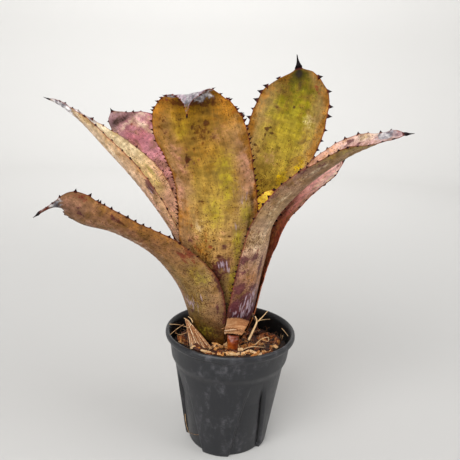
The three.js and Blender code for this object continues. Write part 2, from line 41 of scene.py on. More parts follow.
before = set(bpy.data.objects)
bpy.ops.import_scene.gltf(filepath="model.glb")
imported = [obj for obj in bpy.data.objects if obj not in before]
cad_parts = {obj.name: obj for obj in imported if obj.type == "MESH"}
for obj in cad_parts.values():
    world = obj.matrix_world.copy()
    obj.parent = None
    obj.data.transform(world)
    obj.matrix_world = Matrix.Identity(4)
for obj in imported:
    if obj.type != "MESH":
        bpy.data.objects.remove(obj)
MM = 0.001
ROOT = "root"

# Plant axis (x, y), and the flare of the tube that the leaf sheaths form round it: heights of the
# stations, the tube's profile as height and radius, and how much further in each layer lies
PLANT_AXIS = np.array([-8.0, 0.0])
SHEATH_HEIGHTS = [80, 88, 96, 104, 112, 120]
SHEATH_PROFILE = [(76, 11.5), (84, 14), (94, 20), (106, 25), (118, 28.5), (130, 31)]
SHEATH_LAYER_STEP = 1.7
# Least distance between two heights of a sheath
SHEATH_GAP = 3.0
# Blade: the length that rounds it off, its half width at the tip, and the horn's at its point
BLADE_END = 5.0
TIP_HALF_WIDTH = 0.35
HORN_POINT = 0.12
# Leaf mesh: distance between rows, points across a face, and how much closer they stand at the
# margins
ROW_STEP = 1.0
LEAF_COLUMNS = 51
COLUMN_CROWDING = 0.45
# Margin: the share of the thickness that it loses, how far it bulges as a share of the thickness,
# the height of its waves, and its swellings at the spines, their length as a share of the spacing
# and their height as a share of that length
MARGIN_THINNING = 0.5
MARGIN_BULGE = 0.2
MARGIN_WAVE = 0.35
SWELL_LENGTH = 0.22
SWELL_HEIGHT = 0.3
# Marginal spines: lengths without any above the sheath and before the horn, how far one strays from
# its place, range of sizes, half width along the margin as a share of the length, half thickness,
# power of the narrowing, and the share of the section's arc by which they lean towards the inner
# face. Their mesh has rings at shares of the length, with points round each
BARE_MARGIN = 6.0
BARE_TIP = 4.0
SPINE_STRAY = 0.5
SPINE_SIZES = (0.7, 1.2)
SPINE_HALF_WIDTH = 0.46
SPINE_HALF_THICKNESS = 0.42
SPINE_NARROWING = 1.1
SPINE_LEAN = 0.6
SPINE_RINGS = np.array([-0.12, 0.0, 0.18, 0.4, 0.65, 0.88])
SPINE_SIDES = 6

# Every leaf: where it grows, its blade's stations and its finish. Azimuth is the side it grows on,
# layer its place in the tube from outside in, wrap how far its sheath reaches round the tube on
# each side, and start and top are the heights of the sheath's ends. A station is the midrib's
# x, y, z, then half width, roll and turn in degrees. The horn is the hard spine at the tip, its
# length and half width. Spacing is that of the marginal spines at the base and at the tip, spine
# their length and hook how far they bend towards the tip. Tone is how bright the skin is,
# richness how strong its colour, and crinkle the height of its waves. Colours run from the base
# to the tip, down the middle of a face and down its sides. Marks are listed by kind: place across
# (-1 to 1) and along the leaf, half sizes across and along, and strength.
# The first colour stops darken the base where the sheaths enter the medium: partly painted shade.
LEAVES = [
    {
        "piece": "leaf_low_front_left", "node": "leaf_front_low_left", "slot": "leaf_brown",
        "azimuth": 207, "layer": 0, "wrap": 71, "start": 80, "top": 112,
        "blade": [(-40, -20, 140, 35, 60, -10), (-57, -28, 164, 28, 50, -14), (-83, -36, 182, 22, 46, -18),
                  (-105, -44, 193, 19, 42, -36), (-117, -48, 203, 12, 38, -44),
                  (-124, -50, 203, 4.5, 40, -30), (-131, -52, 200, 2.5, 40, 0)],
        "tip": (-138, -53, 195), "horn": (5, 1.8), "spacing": (7, 4.5), "spine": 2.8, "hook": 0.2,
        "tone": 0.75, "richness": 1.03, "crinkle": 0.12,
        "outer": {
            "middle": [(0.06, "#2c200e"), (0.17, "#5a451e"), (0.24, "#927448"), (0.36, "#9c7e4c"),
                       (0.46, "#9c7248"), (0.6, "#966646"), (0.75, "#9c7056"), (0.88, "#906c50"),
                       (1, "#7c6664")],
            "sides": [(0.06, "#2c200e"), (0.17, "#6a4c30"), (0.24, "#a07a5a"), (0.36, "#a68258"),
                      (0.46, "#a07450"), (0.6, "#9a6a40"), (0.75, "#966846"), (0.88, "#8c6648"),
                      (1, "#7c6664")],
        },
        "inner": {
            "middle": [(0, "#6a4a28"), (0.4, "#a8823f"), (0.7, "#a06a4a"), (1, "#7a5a5a")],
            "sides": [(0, "#6a4a28"), (0.4, "#b08048"), (0.7, "#b07a58"), (1, "#7a5050")],
        },
        "outer_marks": {
            "green": [(-0.7, 73, 9, 11, 0.6), (-0.4, 52, 8, 12, 0.35), (-0.5, 25, 12, 9, 0.4)],
            "pink": [(0, 170, 9, 8, 0.6), (0.3, 100, 12, 30, 0.4), (0.15, 58, 8, 24, 0.6)],
            "orange": [(-0.9, 120, 6, 30, 0.5)],
            "pale": [(-0.1, 120, 8, 30, 0.3)],
            "sheen": [(-0.5, 57, 5, 3, 0.4), (-0.15, 49, 8, 8, 0.5)],
            "spot": [(-0.7, 133, 1.6, 4, 0.6), (-0.7, 112, 1.5, 4, 0.5), (-0.55, 104, 1.2, 3, 0.5),
                     (-0.2, 66, 16, 20, 0.3), (-0.6, 52, 1.2, 2, 0.7)],
            "bruise": [(-0.2, 160, 3.5, 5, 0.6), (-0.75, 138, 2.5, 4, 0.55), (-1, 60, 2.6, 12, 0.9),
                       (-0.84, 48, 1.2, 4, 0.8), (-1, 42, 3, 9, 0.9), (-0.2, 42, 2.2, 2.2, 0.9)],
            "red": [(0, 183, 8, 2.5, 1), (-0.8, 166, 2.5, 3, 0.7), (-0.78, 91, 2, 4, 1),
                    (-0.93, 88, 2.2, 4, 1), (-0.7, 85, 1, 5, 0.7), (-0.85, 82, 1.2, 3, 0.6)],
            "dried": [(0, 177, 9, 4, 0.85)],
        },
        "inner_marks": {
            "dried": [(0, 178, 9, 7, 0.9)],
            # Painted shade: a broad dark spot over the base of the inner face, inside the tube of sheaths.
            "spot": [(0, 30, 30, 30, 0.6)],
        },
    },
    {
        "piece": "leaf_long_right", "node": "leaf_right", "slot": "leaf_brown",
        "azimuth": -20, "layer": 1, "wrap": 61, "start": 80, "top": 112,
        "blade": [(19, -13, 140, 27.5, 52, 0), (22, -16.5, 164, 25.5, 45, 4), (27, -19, 190, 25, 47, 0),
                  (42.5, -23, 213, 27, 52, -1), (63, -28, 233.5, 23.5, 54, -7),
                  (83, -32, 248.5, 19.5, 46, -12), (98, -36, 257, 6.5, 30, -24),
                  (108, -38, 260.5, 5.5, 22, -26)],
        "tip": (116.9, -40, 262), "horn": (6, 1.7), "spacing": (3.6, 7.5), "spine": 2.9, "hook": 0.2,
        "tone": 1.12, "richness": 0.98, "crinkle": 0.12,
        "outer": {
            "middle": [(0.1, "#1e1210"), (0.18, "#4a2a2c"), (0.3, "#a07458"), (0.42, "#b8967a"),
                       (0.52, "#a88860"), (0.66, "#8e6c50"), (0.84, "#947450"), (1, "#7e6a60")],
            "sides": [(0.1, "#1e1210"), (0.18, "#4a2830"), (0.3, "#986a50"), (0.42, "#b08c70"),
                      (0.52, "#9c7e5a"), (0.66, "#846450"), (0.84, "#8e7250"), (1, "#7e6a60")],
        },
        "inner": {
            "middle": [(0, "#6a4a30"), (0.45, "#a8763e"), (0.65, "#a06c50"), (0.8, "#c8968a"),
                       (0.92, "#c4a09c"), (1, "#8a7278")],
            "sides": [(0, "#6a4a30"), (0.45, "#a87a48"), (0.65, "#b87c64"), (0.8, "#dcb4a8"),
                      (0.92, "#ccb0ac"), (1, "#a68688")],
        },
        "outer_marks": {
            # Painted highlight: these pale stripes run along the keel where light catches it.
            "pale": [(0.72, 166, 2, 20, 0.4), (0.6, 134, 2.4, 18, 0.4), (0.35, 108, 3, 20, 0.4),
                     (0.6, 102, 9, 9, 0.4)],
            "orange": [(0.45, 74, 9, 6, 0.5)],
            "green": [(0.95, 190, 5, 26, 0.5)],
            "bruise": [(0.85, 173, 2.5, 4, 0.6), (0.9, 160, 3, 6, 0.55), (0.95, 140, 3, 14, 0.5),
                       (0.5, 90, 7, 3.5, 0.85), (0.9, 88, 5, 4, 0.9), (0.15, 82, 2.6, 9, 0.9),
                       (0.75, 80, 5, 3, 0.5), (1, 75, 2.4, 22, 0.8), (0.8, 66, 6, 6, 1),
                       (0.35, 65, 6, 3.5, 0.9), (0.55, 56, 10, 7, 1), (0.85, 50, 7, 9, 1),
                       (0.3, 42, 18, 7, 1)],
            "sheen": [(0.2, 60, 6, 7, 0.6), (0.35, 50, 9, 10, 0.75), (0.6, 42, 9, 6, 0.65)],
            "spot": [(1, 112, 2, 16, 0.7), (0.55, 105, 1, 2, 0.6), (0.8, 97, 1, 2, 0.7)],
            "red": [(0.65, 110, 0.9, 1.2, 0.8), (0.45, 95, 0.8, 3, 0.8)],
        },
        "inner_marks": {
            "orange": [(-0.9, 178, 6, 14, 0.6)],
            # Painted highlight: pale marks near the tip of the inner face.
            "pale": [(-0.85, 212, 3, 5, 0.6), (-0.75, 203, 4, 6, 0.9)],
            "bruise": [(-0.1, 224, 2.5, 3, 0.7), (-0.45, 220, 2.5, 3, 0.8), (-0.5, 199, 1.6, 4, 0.6),
                       (-0.82, 194, 2.2, 2.4, 0.9), (-0.7, 190, 1.6, 4, 0.7)],
            "dried": [(-0.5, 217, 5, 7, 0.9)],
            "red": [(-0.7, 226, 2, 2, 0.8), (-0.9, 222, 1.6, 3, 0.9)],
            "pink": [(-0.6, 209, 4, 8, 0.5)],
        },
    },
    {
        "piece": "leaf_low_right", "node": "leaf_right_low", "slot": "leaf_brown",
        "azimuth": 30, "layer": 0, "wrap": 46, "start": 80, "top": 112,
        "blade": [(20, 20, 135, 24, 46, 0), (26, 21, 160, 25, 44, 0), (35, 21, 186, 26, 40, 0),
                  (50, 22, 205, 25.5, 36, 0), (66, 24, 218, 21.5, 34, 0), (78, 24, 229, 13, 34, 0),
                  (83, 22, 234, 5, 40, 0)],
        "tip": (85, 21, 238), "horn": (4, 1.2), "spacing": (7, 6), "spine": 2.4, "hook": 0.2,
        # Painted light: tone 2.0 brightens this leaf, which lies in shade behind the long right leaf, to
        # the look of the lit, backlit real one.
        "tone": 2.0, "richness": 1.0, "crinkle": 0.1,
        "outer": {
            "middle": [(0, "#3a2412"), (0.3, "#904e30"), (0.6, "#904628"), (0.8, "#a46c60"),
                       (1, "#b09088")],
            "sides": [(0, "#3a2412"), (0.3, "#965434"), (0.6, "#863e24"), (0.8, "#ac766a"), (1, "#b09088")],
        },
        "inner": {
            "middle": [(0, "#3a2412"), (0.3, "#945230"), (0.5, "#9a4c36"), (0.62, "#a25a4c"),
                       (0.74, "#bc8078"), (1, "#c0a4a0")],
            "sides": [(0, "#3a2412"), (0.3, "#945230"), (0.5, "#9e523a"), (0.62, "#b27064"),
                      (0.74, "#d0a49e"), (1, "#c0a4a0")],
        },
        "outer_marks": {
            "dried": [(0, 178, 6, 5, 0.7)],
        },
        "inner_marks": {
            # Painted light and shade: the first three red marks are the shadow of the long right leaf's
            # keel, and the pale marks paint the light where the blade curls up.
            "red": [(-0.3, 171, 2.6, 5, 0.9), (-0.2, 160, 1.8, 8, 0.7), (-0.15, 144, 1.8, 6, 0.7),
                    (0.2, 118, 3, 6, 0.5)],
            "spot": [(-0.15, 141, 1.4, 3, 0.9), (0.7, 112, 5, 10, 0.4)],
            "pale": [(0.8, 164, 6, 12, 0.7), (0.3, 155, 4, 9, 0.5)],
            "pink": [(0.1, 168, 5, 12, 0.5)],
            "orange": [(0.2, 100, 8, 20, 0.5)],
            "bruise": [(0, 176, 8, 4, 0.5)],
        },
    },
    {
        "piece": "leaf_pink_back_left", "node": "leaf_back_left", "slot": "leaf_pink",
        "azimuth": 122, "layer": 1, "wrap": 57, "start": 80, "top": 112,
        "blade": [(-25, 28, 142, 28, 50, 0), (-34, 35, 170, 28, 42, 0), (-48, 42, 200, 28, 38, 0),
                  (-68, 46.8, 227, 29, 36, 0), (-87, 50.8, 244, 26, 36, 0), (-102, 52, 256, 11, 36, 0)],
        "tip": (-108, 53, 265), "horn": (2, 0.6), "spacing": (6, 6), "spine": 1.8, "hook": 0.2,
        "tone": 1.04, "richness": 0.95, "crinkle": 0.12,
        "outer": {
            "middle": [(0, "#4a3a20"), (0.3, "#8f7040"), (0.6, "#a07a58"), (1, "#a8807c")],
            "sides": [(0, "#4a3a20"), (0.3, "#9a7448"), (0.6, "#b08064"), (1, "#a87078")],
        },
        "inner": {
            "middle": [(0, "#6a4a28"), (0.45, "#b88a58"), (0.62, "#c08068"), (0.78, "#bc7880"),
                       (0.86, "#ae626c"), (0.93, "#bc8488"), (1, "#8a7a80")],
            "sides": [(0, "#6a4a28"), (0.45, "#c09068"), (0.62, "#c88878"), (0.78, "#cc848c"),
                      (0.86, "#c07884"), (0.93, "#cc9ca0"), (1, "#8a7a80")],
        },
        "outer_marks": {
            "dried": [(0, 208, 14, 6, 0.9)],
        },
        "inner_marks": {
            # The two thin pale lines at 200 and 201 mm are a painted highlight on the rolled edge under the
            # withered band.
            "pale": [(0.15, 201, 8, 2, 0.7), (0.3, 200, 14, 1.4, 0.6), (0.85, 198, 5, 7, 0.6),
                     (0.5, 190, 4, 12, 0.6)],
            "dark": [(-0.2, 208, 16, 4, 0.75), (0.4, 206, 12, 3.6, 0.7), (0.85, 202, 8, 2.6, 0.5)],
            "red": [(0.1, 198, 8, 1.2, 0.5), (0, 181, 5, 4, 0.4), (0.15, 166, 4, 0.8, 0.7)],
            "bruise": [(0.2, 195, 3, 3, 0.3)],
        },
    },
    {
        "piece": "leaf_broad_front", "node": "leaf_front", "slot": "leaf_green",
        "azimuth": 262, "layer": 2, "wrap": 62, "start": 84, "top": 120,
        "blade": [(-12, -28, 146, 28, 54, 0), (-15, -32, 172, 31, 46, 0), (-15.5, -34, 200, 32, 41, 0),
                  (-18.5, -36, 224, 31, 36, 0), (-26, -38, 247, 33, 33, 0), (-31, -40, 261, 32.5, 28, -3),
                  (-33, -43, 274, 25, 20, -6), (-34, -48.4, 281, 13, 15, -12),
                  (-35, -53.2, 277, 4, 15, -8)],
        "tip": (-35, -55.2, 266), "horn": (1, 0.4), "spacing": (4.4, 2.5), "spine": 2.5, "hook": 0.35,
        "tone": 0.96, "richness": 1.06, "crinkle": 0.2,
        "outer": {
            "middle": [(0.16, "#4a3a1a"), (0.28, "#8a6c44"), (0.36, "#a07a50"), (0.46, "#b08c54"),
                       (0.56, "#ac8c4c"), (0.66, "#9c7c3c"), (0.76, "#9c763a"), (0.86, "#926c2a"),
                       (0.93, "#7c5814"), (1, "#80601c")],
            "sides": [(0.16, "#4a3a1a"), (0.28, "#8a7048"), (0.36, "#a6805c"), (0.46, "#b89066"),
                      (0.56, "#b48c68"), (0.66, "#a27c5c"), (0.76, "#a27c50"), (0.86, "#a27840"),
                      (0.93, "#a47038"), (1, "#a06a30")],
        },
        "inner": {
            "middle": [(0, "#5a4a22"), (0.35, "#a88e3c"), (0.7, "#9a8430"), (1, "#8a6a28")],
            "sides": [(0, "#5a4a22"), (0.35, "#b08a4c"), (0.7, "#b88850"), (1, "#a8683c")],
        },
        "outer_marks": {
            "green": [(0.3, 182, 14, 9, 0.45), (-0.6, 158, 9, 8, 0.35), (-0.35, 142, 9, 24, 0.6),
                      (0, 119, 9, 14, 0.6), (-0.72, 118, 6, 12, 0.8), (-0.55, 97, 5, 18, 0.8),
                      (-0.5, 66, 6, 16, 0.7)],
            "orange": [(-0.97, 200, 4, 10, 0.7), (-0.85, 195, 6, 8, 0.6), (0.9, 194, 7, 16, 0.8),
                       (-0.7, 189, 11, 16, 0.55), (0.2, 166, 12, 9, 0.35), (0.75, 114, 8, 16, 0.6),
                       (0.3, 90, 9, 10, 0.6)],
            "pink": [(-0.45, 172, 8, 8, 0.4), (0.62, 165, 7, 24, 0.55), (-0.8, 148, 6, 22, 0.6),
                     (0.85, 132, 5, 16, 0.6), (-0.2, 104, 8, 5, 0.35), (0.5, 98, 7, 6, 0.5)],
            "sheen": [(-0.68, 131, 5, 8, 0.35), (-0.5, 109, 3, 6, 0.35), (-0.18, 80, 3.5, 3, 0.95),
                      (-0.25, 75, 3, 3, 0.7)],
            "pale": [(0.35, 108, 6, 8, 0.35)],
            # The three wide spot marks at 199 mm are painted shade under the dried, folded tip.
            "spot": [(-0.75, 206, 4, 3, 0.8), (0.35, 199, 16, 2.4, 0.5), (0.25, 199, 14, 4, 0.8),
                     (-0.4, 199, 12, 5, 0.75), (0.05, 191, 5, 1.4, 0.45), (0.3, 188, 2, 1.4, 0.9),
                     (-0.13, 186, 4, 1.8, 0.5), (0.7, 185, 6, 10, 0.4), (-0.25, 183, 2.2, 2.5, 0.9),
                     (0.05, 182, 2.3, 1.9, 1), (-0.1, 178, 16, 14, 0.42), (-0.25, 176, 2, 1.8, 0.8),
                     (-0.1, 173, 1.8, 1.6, 0.75), (-0.25, 171, 1.6, 2, 0.7), (0.18, 168, 1.6, 1.2, 0.6),
                     (-0.28, 166, 2, 3, 0.45), (0.4, 162, 1.7, 3.6, 1), (0.52, 157, 2, 2, 0.5),
                     (-0.15, 156, 1, 1.2, 0.9), (0.3, 128, 2.4, 1, 0.9), (-0.3, 115, 1.2, 1, 0.9),
                     (-0.35, 103, 1.3, 1.2, 1), (0, 99, 1.4, 1.2, 1), (0, 92, 1.4, 1.3, 1),
                     (0.15, 88, 1.2, 1.4, 0.8), (-0.1, 87, 1.6, 1.4, 0.9), (0.25, 84, 2, 2.4, 0.7),
                     (0.1, 81, 2, 2, 0.7), (0, 60, 8, 22, 0.55)],
            "bruise": [(0.4, 160, 10, 12, 0.35), (0.15, 113, 1.8, 1.5, 0.7), (0.6, 96, 1.8, 2, 0.8),
                       (-0.35, 96, 2, 1.5, 0.6), (-0.25, 95, 3, 2.8, 0.85), (-0.3, 83, 5, 3, 0.8),
                       (-0.15, 79, 7, 7, 0.95), (-0.05, 72, 5, 7, 0.9)],
            "red": [(0.85, 200, 4, 1, 0.7), (0.3, 196, 6, 4, 0.35), (-0.95, 188, 3, 2, 0.8),
                    (0.6, 107, 4, 2, 0.5), (0.2, 104, 0.9, 3.2, 1), (0.35, 99, 3, 2, 0.5),
                    (0.15, 98, 0.8, 3, 1), (0.08, 94, 1.6, 1.4, 1), (0.4, 92, 2.6, 3, 0.6)],
            "dried": [(0, 209, 14, 6, 1), (0.75, 206, 9, 4, 1), (-0.35, 203, 8, 3.5, 0.8)],
            # Painted shadow: these dark marks run beside the long right leaf's margin, where it shades this
            # leaf.
            "dark": [(-0.86, 126, 2.2, 12, 0.6), (-0.77, 108, 2, 14, 0.6), (-0.68, 90, 2, 14, 0.6)],
        },
        "inner_marks": {
            "dried": [(0, 208, 16, 10, 1), (-0.6, 206, 9, 6, 0.9)],
            "sheen": [(0.8, 208, 8, 5, 0.8), (-0.8, 206, 6, 4, 0.8)],
            "bruise": [(0.15, 203, 3, 4, 0.4)],
            # Painted shade: a broad dark spot over the inner face low on the blade, inside the rosette.
            "spot": [(0, 60, 30, 30, 0.5)],
        },
    },
    {
        "piece": "leaf_long_left", "node": "leaf_left", "slot": "leaf_tan",
        "azimuth": 176, "layer": 3, "wrap": 60, "start": 88, "top": 120,
        "blade": [(-34, 1, 150, 20, 56, 0), (-52, 3, 180, 21, 60, 0), (-76, 5, 212, 29.5, 60, -1),
                  (-103, 8, 239, 22.5, 58, -4), (-128, 11, 262, 7.5, 57, -10),
                  (-144, 13, 271, 3.5, 50, -10)],
        "tip": (-149.9, 13, 273), "horn": (4.5, 1.2), "spacing": (3.4, 11), "spine": 2.9, "hook": 0.1,
        "tone": 1.42, "richness": 0.95, "crinkle": 0.12,
        "outer": {
            "middle": [(0, "#5a4a2a"), (0.3, "#b08a64"), (0.55, "#bc987a"), (0.8, "#c2a68c"),
                       (1, "#a89890")],
            "sides": [(0, "#5a4a2a"), (0.3, "#b89070"), (0.5, "#be966e"), (0.65, "#b4906c"),
                      (0.8, "#ae9470"), (0.9, "#a8926c"), (1, "#a4949c")],
        },
        "inner": {
            "middle": [(0, "#5a4a2a"), (0.3, "#c09060"), (0.5, "#b8974c"), (0.62, "#b8a05c"),
                       (0.72, "#cdb27c"), (0.9, "#d0bc98"), (1, "#b0a4a0")],
            "sides": [(0, "#5a4a2a"), (0.3, "#c8946c"), (0.5, "#c89a78"), (0.62, "#ccaa78"),
                      (0.72, "#d2bc90"), (0.82, "#d4c4a4"), (0.9, "#c8b8a4"), (1, "#b0a4a0")],
        },
        "outer_marks": {
            "pink": [(-0.5, 120, 8, 24, 0.5), (-0.7, 96, 6, 20, 0.5)],
            "bruise": [(-0.8, 215, 3, 5, 0.5), (-0.96, 135, 3.4, 3, 1), (-0.88, 131, 3, 5, 1)],
            "sheen": [(-0.85, 128, 3, 4, 0.5)],
            "dried": [(-0.8, 220, 8, 10, 0.85)],
            "orange": [(-0.98, 150, 2, 30, 0.5)],
            # Painted highlight: a long pale stripe along the keel.
            "pale": [(-0.6, 165, 4, 40, 0.4)],
        },
        "inner_marks": {
            "pink": [(0.95, 134, 5, 18, 0.75), (0.7, 112, 9, 14, 0.7)],
            "green": [(0.95, 183, 3, 5, 0.6), (0.9, 156, 3, 8, 0.4), (0.76, 142, 2, 8, 0.9),
                      (0.7, 128, 4, 9, 0.7)],
            "spot": [(0.72, 143, 0.7, 7, 0.7)],
            "pale": [(0.8, 168, 8, 22, 0.6)],
            "dried": [(0.5, 222, 8, 8, 0.9), (0.9, 206, 8, 14, 0.6)],
            "red": [(0.85, 160, 3, 2, 0.25)],
        },
    },
    {
        "piece": "leaf_upright_back_right", "node": "leaf_back_right", "slot": "leaf_green",
        "azimuth": 72, "layer": 4, "wrap": 58, "start": 92, "top": 120,
        "blade": [(3, 22, 150, 17.5, 50, 0), (14, 29, 185, 21.5, 40, 0), (26.5, 33, 215, 27, 34, 0),
                  (35, 38, 243, 31, 28, 0), (42, 41, 268, 30.5, 24, 0), (46, 44, 288, 24, 20, 0),
                  (46, 45, 298, 13, 20, 0), (45, 46, 304, 4, 20, 0)],
        "tip": (43, 46, 313.9), "horn": (10, 2.8), "spacing": (3.2, 9), "spine": 3.8, "hook": 0.1,
        "tone": 0.91, "richness": 1.05, "crinkle": 0.07,
        "outer": {
            "middle": [(0, "#5a4a22"), (0.4, "#a08638"), (0.7, "#8a7a2a"), (1, "#4a3c14")],
            "sides": [(0, "#5a4a22"), (0.4, "#b08a44"), (0.7, "#a87c3c"), (1, "#6a4422")],
        },
        "inner": {
            "middle": [(0, "#5a4a22"), (0.5, "#a48434"), (0.62, "#b49a44"), (0.72, "#b09a38"),
                       (0.8, "#988a24"), (0.86, "#7c7212"), (0.92, "#564c06"), (1, "#241c08")],
            "sides": [(0, "#5a4a22"), (0.5, "#ae8438"), (0.62, "#b8945c"), (0.74, "#ac8e58"),
                      (0.82, "#9c8050"), (0.9, "#8e7042"), (0.95, "#6a4a18"), (1, "#3a2410")],
        },
        "outer_marks": {},
        "inner_marks": {
            "green": [(0.05, 190, 9, 24, 0.4), (0.2, 160, 9, 20, 0.3)],
            "yellow": [(0.55, 172, 6, 12, 0.25), (0.7, 148, 6, 10, 0.5), (0.35, 134, 6, 8, 0.5),
                       (-0.75, 130, 5, 12, 0.5)],
            "pale": [(0.5, 183, 7, 7, 0.35)],
            "orange": [(0.9, 200, 4, 14, 0.7), (-0.85, 195, 4, 16, 0.5), (0.85, 168, 4, 18, 0.8),
                       (-0.9, 165, 4, 24, 0.6)],
            "pink": [(-0.2, 147, 9, 9, 0.4)],
            "red": [(0.68, 206, 3, 4, 0.6)],
            "spot": [(0, 191, 1.3, 1.3, 1), (-0.45, 188, 2.6, 1.2, 0.5), (0.42, 177, 2, 2, 0.3),
                     (-0.43, 170, 2.4, 1, 0.9), (-0.5, 168, 1.8, 1.6, 1), (-0.36, 166, 1.8, 1.5, 1),
                     (-0.5, 163, 1, 2.2, 0.9), (-0.52, 159, 1, 1.4, 0.9), (0.25, 158, 3, 5, 0.25),
                     (-0.7, 153, 1.6, 1.3, 0.9), (0.3, 146, 3, 4, 0.3), (-0.3, 129, 8, 3, 0.55)],
            "bruise": [(0.75, 192, 3, 5, 0.3)],
            "dark": [(0, 218, 4, 5, 1), (0.05, 210, 3, 7, 0.5)],
        },
    },
    {
        "piece": "leaf_young_heart", "node": "leaf_heart", "slot": "leaf_green",
        "azimuth": 312, "layer": 5, "wrap": 60, "start": 96, "top": 120,
        "blade": [(8, -12, 152, 15, 56, 0), (14, -11, 178, 14, 45, 0), (20, -9, 197, 12, 35, 0),
                  (25, -7, 209, 6, 30, 0)],
        "tip": (28, -6, 215), "horn": (1, 0.4), "spacing": (3.4, 3), "spine": 1.6, "hook": 0.2,
        "tone": 2.6, "richness": 1.0, "crinkle": 0.3,
        "outer": {
            "middle": [(0, "#6a5a22"), (0.5, "#b8aa4c"), (1, "#ccb84c")],
            "sides": [(0, "#6a5a22"), (0.5, "#baaa50"), (1, "#d0ba4c")],
        },
        "inner": {
            "middle": [(0, "#6a5a22"), (0.5, "#c0a820"), (1, "#d8bc18")],
            "sides": [(0, "#6a5a22"), (0.5, "#c4a820"), (1, "#d0ac1c")],
        },
        "outer_marks": {
            "yellow": [(0.6, 110, 14, 12, 0.45)],
        },
        "inner_marks": {
            "yellow": [(0.6, 110, 14, 12, 0.8)],
        },
    },
]
# Each kind of mark, with where its strength starts and stops to count, its most and its raggedness.
# Soft tints lie under the skin's blotches, freckles and scars, and sharp marks over them
SOFT_MARKS = {
    "green": (0.05, 0.95, 0.75, 1.0), "yellow": (0.05, 0.8, 0.9, 0.7), "orange": (0.05, 0.95, 0.75, 1.0),
    "pink": (0.05, 0.95, 0.75, 1.0), "pale": (0.05, 0.95, 0.75, 1.2),
}
SHARP_MARKS = {
    "bruise": (0.2, 0.75, 0.85, 1.7), "spot": (0.22, 0.7, 0.85, 1.2), "red": (0.22, 0.8, 0.75, 1.6),
    "dried": (0.2, 0.6, 0.95, 1.0), "sheen": (0.3, 0.9, 0.8, 2.4), "dark": (0.1, 0.9, 1.0, 0.5),
}
MARK_KINDS = SOFT_MARKS | SHARP_MARKS
# How strong the orange band inside the margin is on each kind of leaf
RIM_BAND = {"leaf_green": 0.75, "leaf_brown": 0.25, "leaf_tan": 0.2, "leaf_pink": 0.15}

# Pot: heights, radii, and the outer and inner profiles of its collar and lip as height, radius
POT_HEIGHT = 97.0
POT_BODY_HEIGHT = 70.0
POT_BASE_RADIUS = 33.6
POT_BODY_TOP_RADIUS = 44.4
POT_WALL = 1.3
POT_FLOOR = 2.0
COLLAR = [(75.5, 47.2), (90, 49), (91.2, 51.2), (92.5, 52.4), (94.5, 52.5), (96.2, 52.2),
          (POT_HEIGHT, 51.2)]
COLLAR_INSIDE = [(POT_HEIGHT, 50.6), (96.2, 49.6), (94, 48.4), (90, 47.7), (76.2, 45.9), (69.2, 43.1)]
# Its pressed-in panels: angles, height, depth, half widths in degrees at the base and the top, width
# of the steep edges, and the share of the height over which they run out
FLUTE_ANGLES = (-149.0, -59.0, 31.0, 121.0)
FLUTE_TOP_HEIGHT = 68.0
FLUTE_DEPTH = 2.6
FLUTE_HALF_ANGLE = 24.0
FLUTE_TOP_HALF_ANGLE = 6.0
FLUTE_EDGE_ANGLE = 2.6
FLUTE_RUN_OUT = 0.3
# Its slots: depth, heights of the ends, and the side of each panel that they are on
SLOT_DEPTH = 3.2
SLOT_ENDS = (4.0, 56.0)
SLOT_SIDES = (1, -1, 1, -1)
# Its drain holes: number, distance from the axis, radius, and the heights the cutter spans
HOLE_COUNT = 6
HOLE_DISTANCE = 19.0
HOLE_RADIUS = 3.5
HOLE_SPAN = (-3.0, 5.0)

# Medium: level in the pot's middle and slope up to the front, radius at the wall and at the plant,
# depth of the funnel round the plant and the distances over which it drops, level of the underside,
# and the skirt's heights and shares of the radius
MEDIUM_LEVEL = 85.5
MEDIUM_SLOPE = 0.17
FUNNEL_DEPTH = 5.5
FUNNEL_SPAN = (20.0, 12.0)
BED_RADIUS = 45.4
BED_PLANT_RADIUS = 11.0
BED_UNDERSIDE = 66.0
BED_SKIRT = ((BED_UNDERSIDE, 0.93), (72.0, 0.95), (76.5, 0.995))
# Loose stuff: how far out places are tried, and the wall's radius
SPREAD_REACH = 46.0
WALL_RADIUS = 45.5
# Small chips: distances kept from the plant axis and the wall, radius from which they lie along the
# wall, share of light ones, ranges of length, width and thickness, points round a ring, and how
# square a ring is
CHIP_CLEARANCE = (17.0, 4.5)
CHIP_WALL_RADIUS = 36.0
LIGHT_CHIPS = 0.42
CHIP_SIZES = ((3, 12), (1.6, 5), (0.8, 2.4))
CHIP_SIDES = 10
CHIP_SQUARENESS = 0.35
# Fibres: distances kept from the plant axis and the wall, radius that they stay within, ranges of
# reach, rise and radius, and steps along each
FIBRE_CLEARANCE = (19.0, 3.0)
FIBRE_LIMIT = 44.5
FIBRE_REACH = (5, 17)
FIBRE_RISE = (1, 9)
FIBRE_RADII = (0.12, 0.26)
FIBRE_STEPS = 9
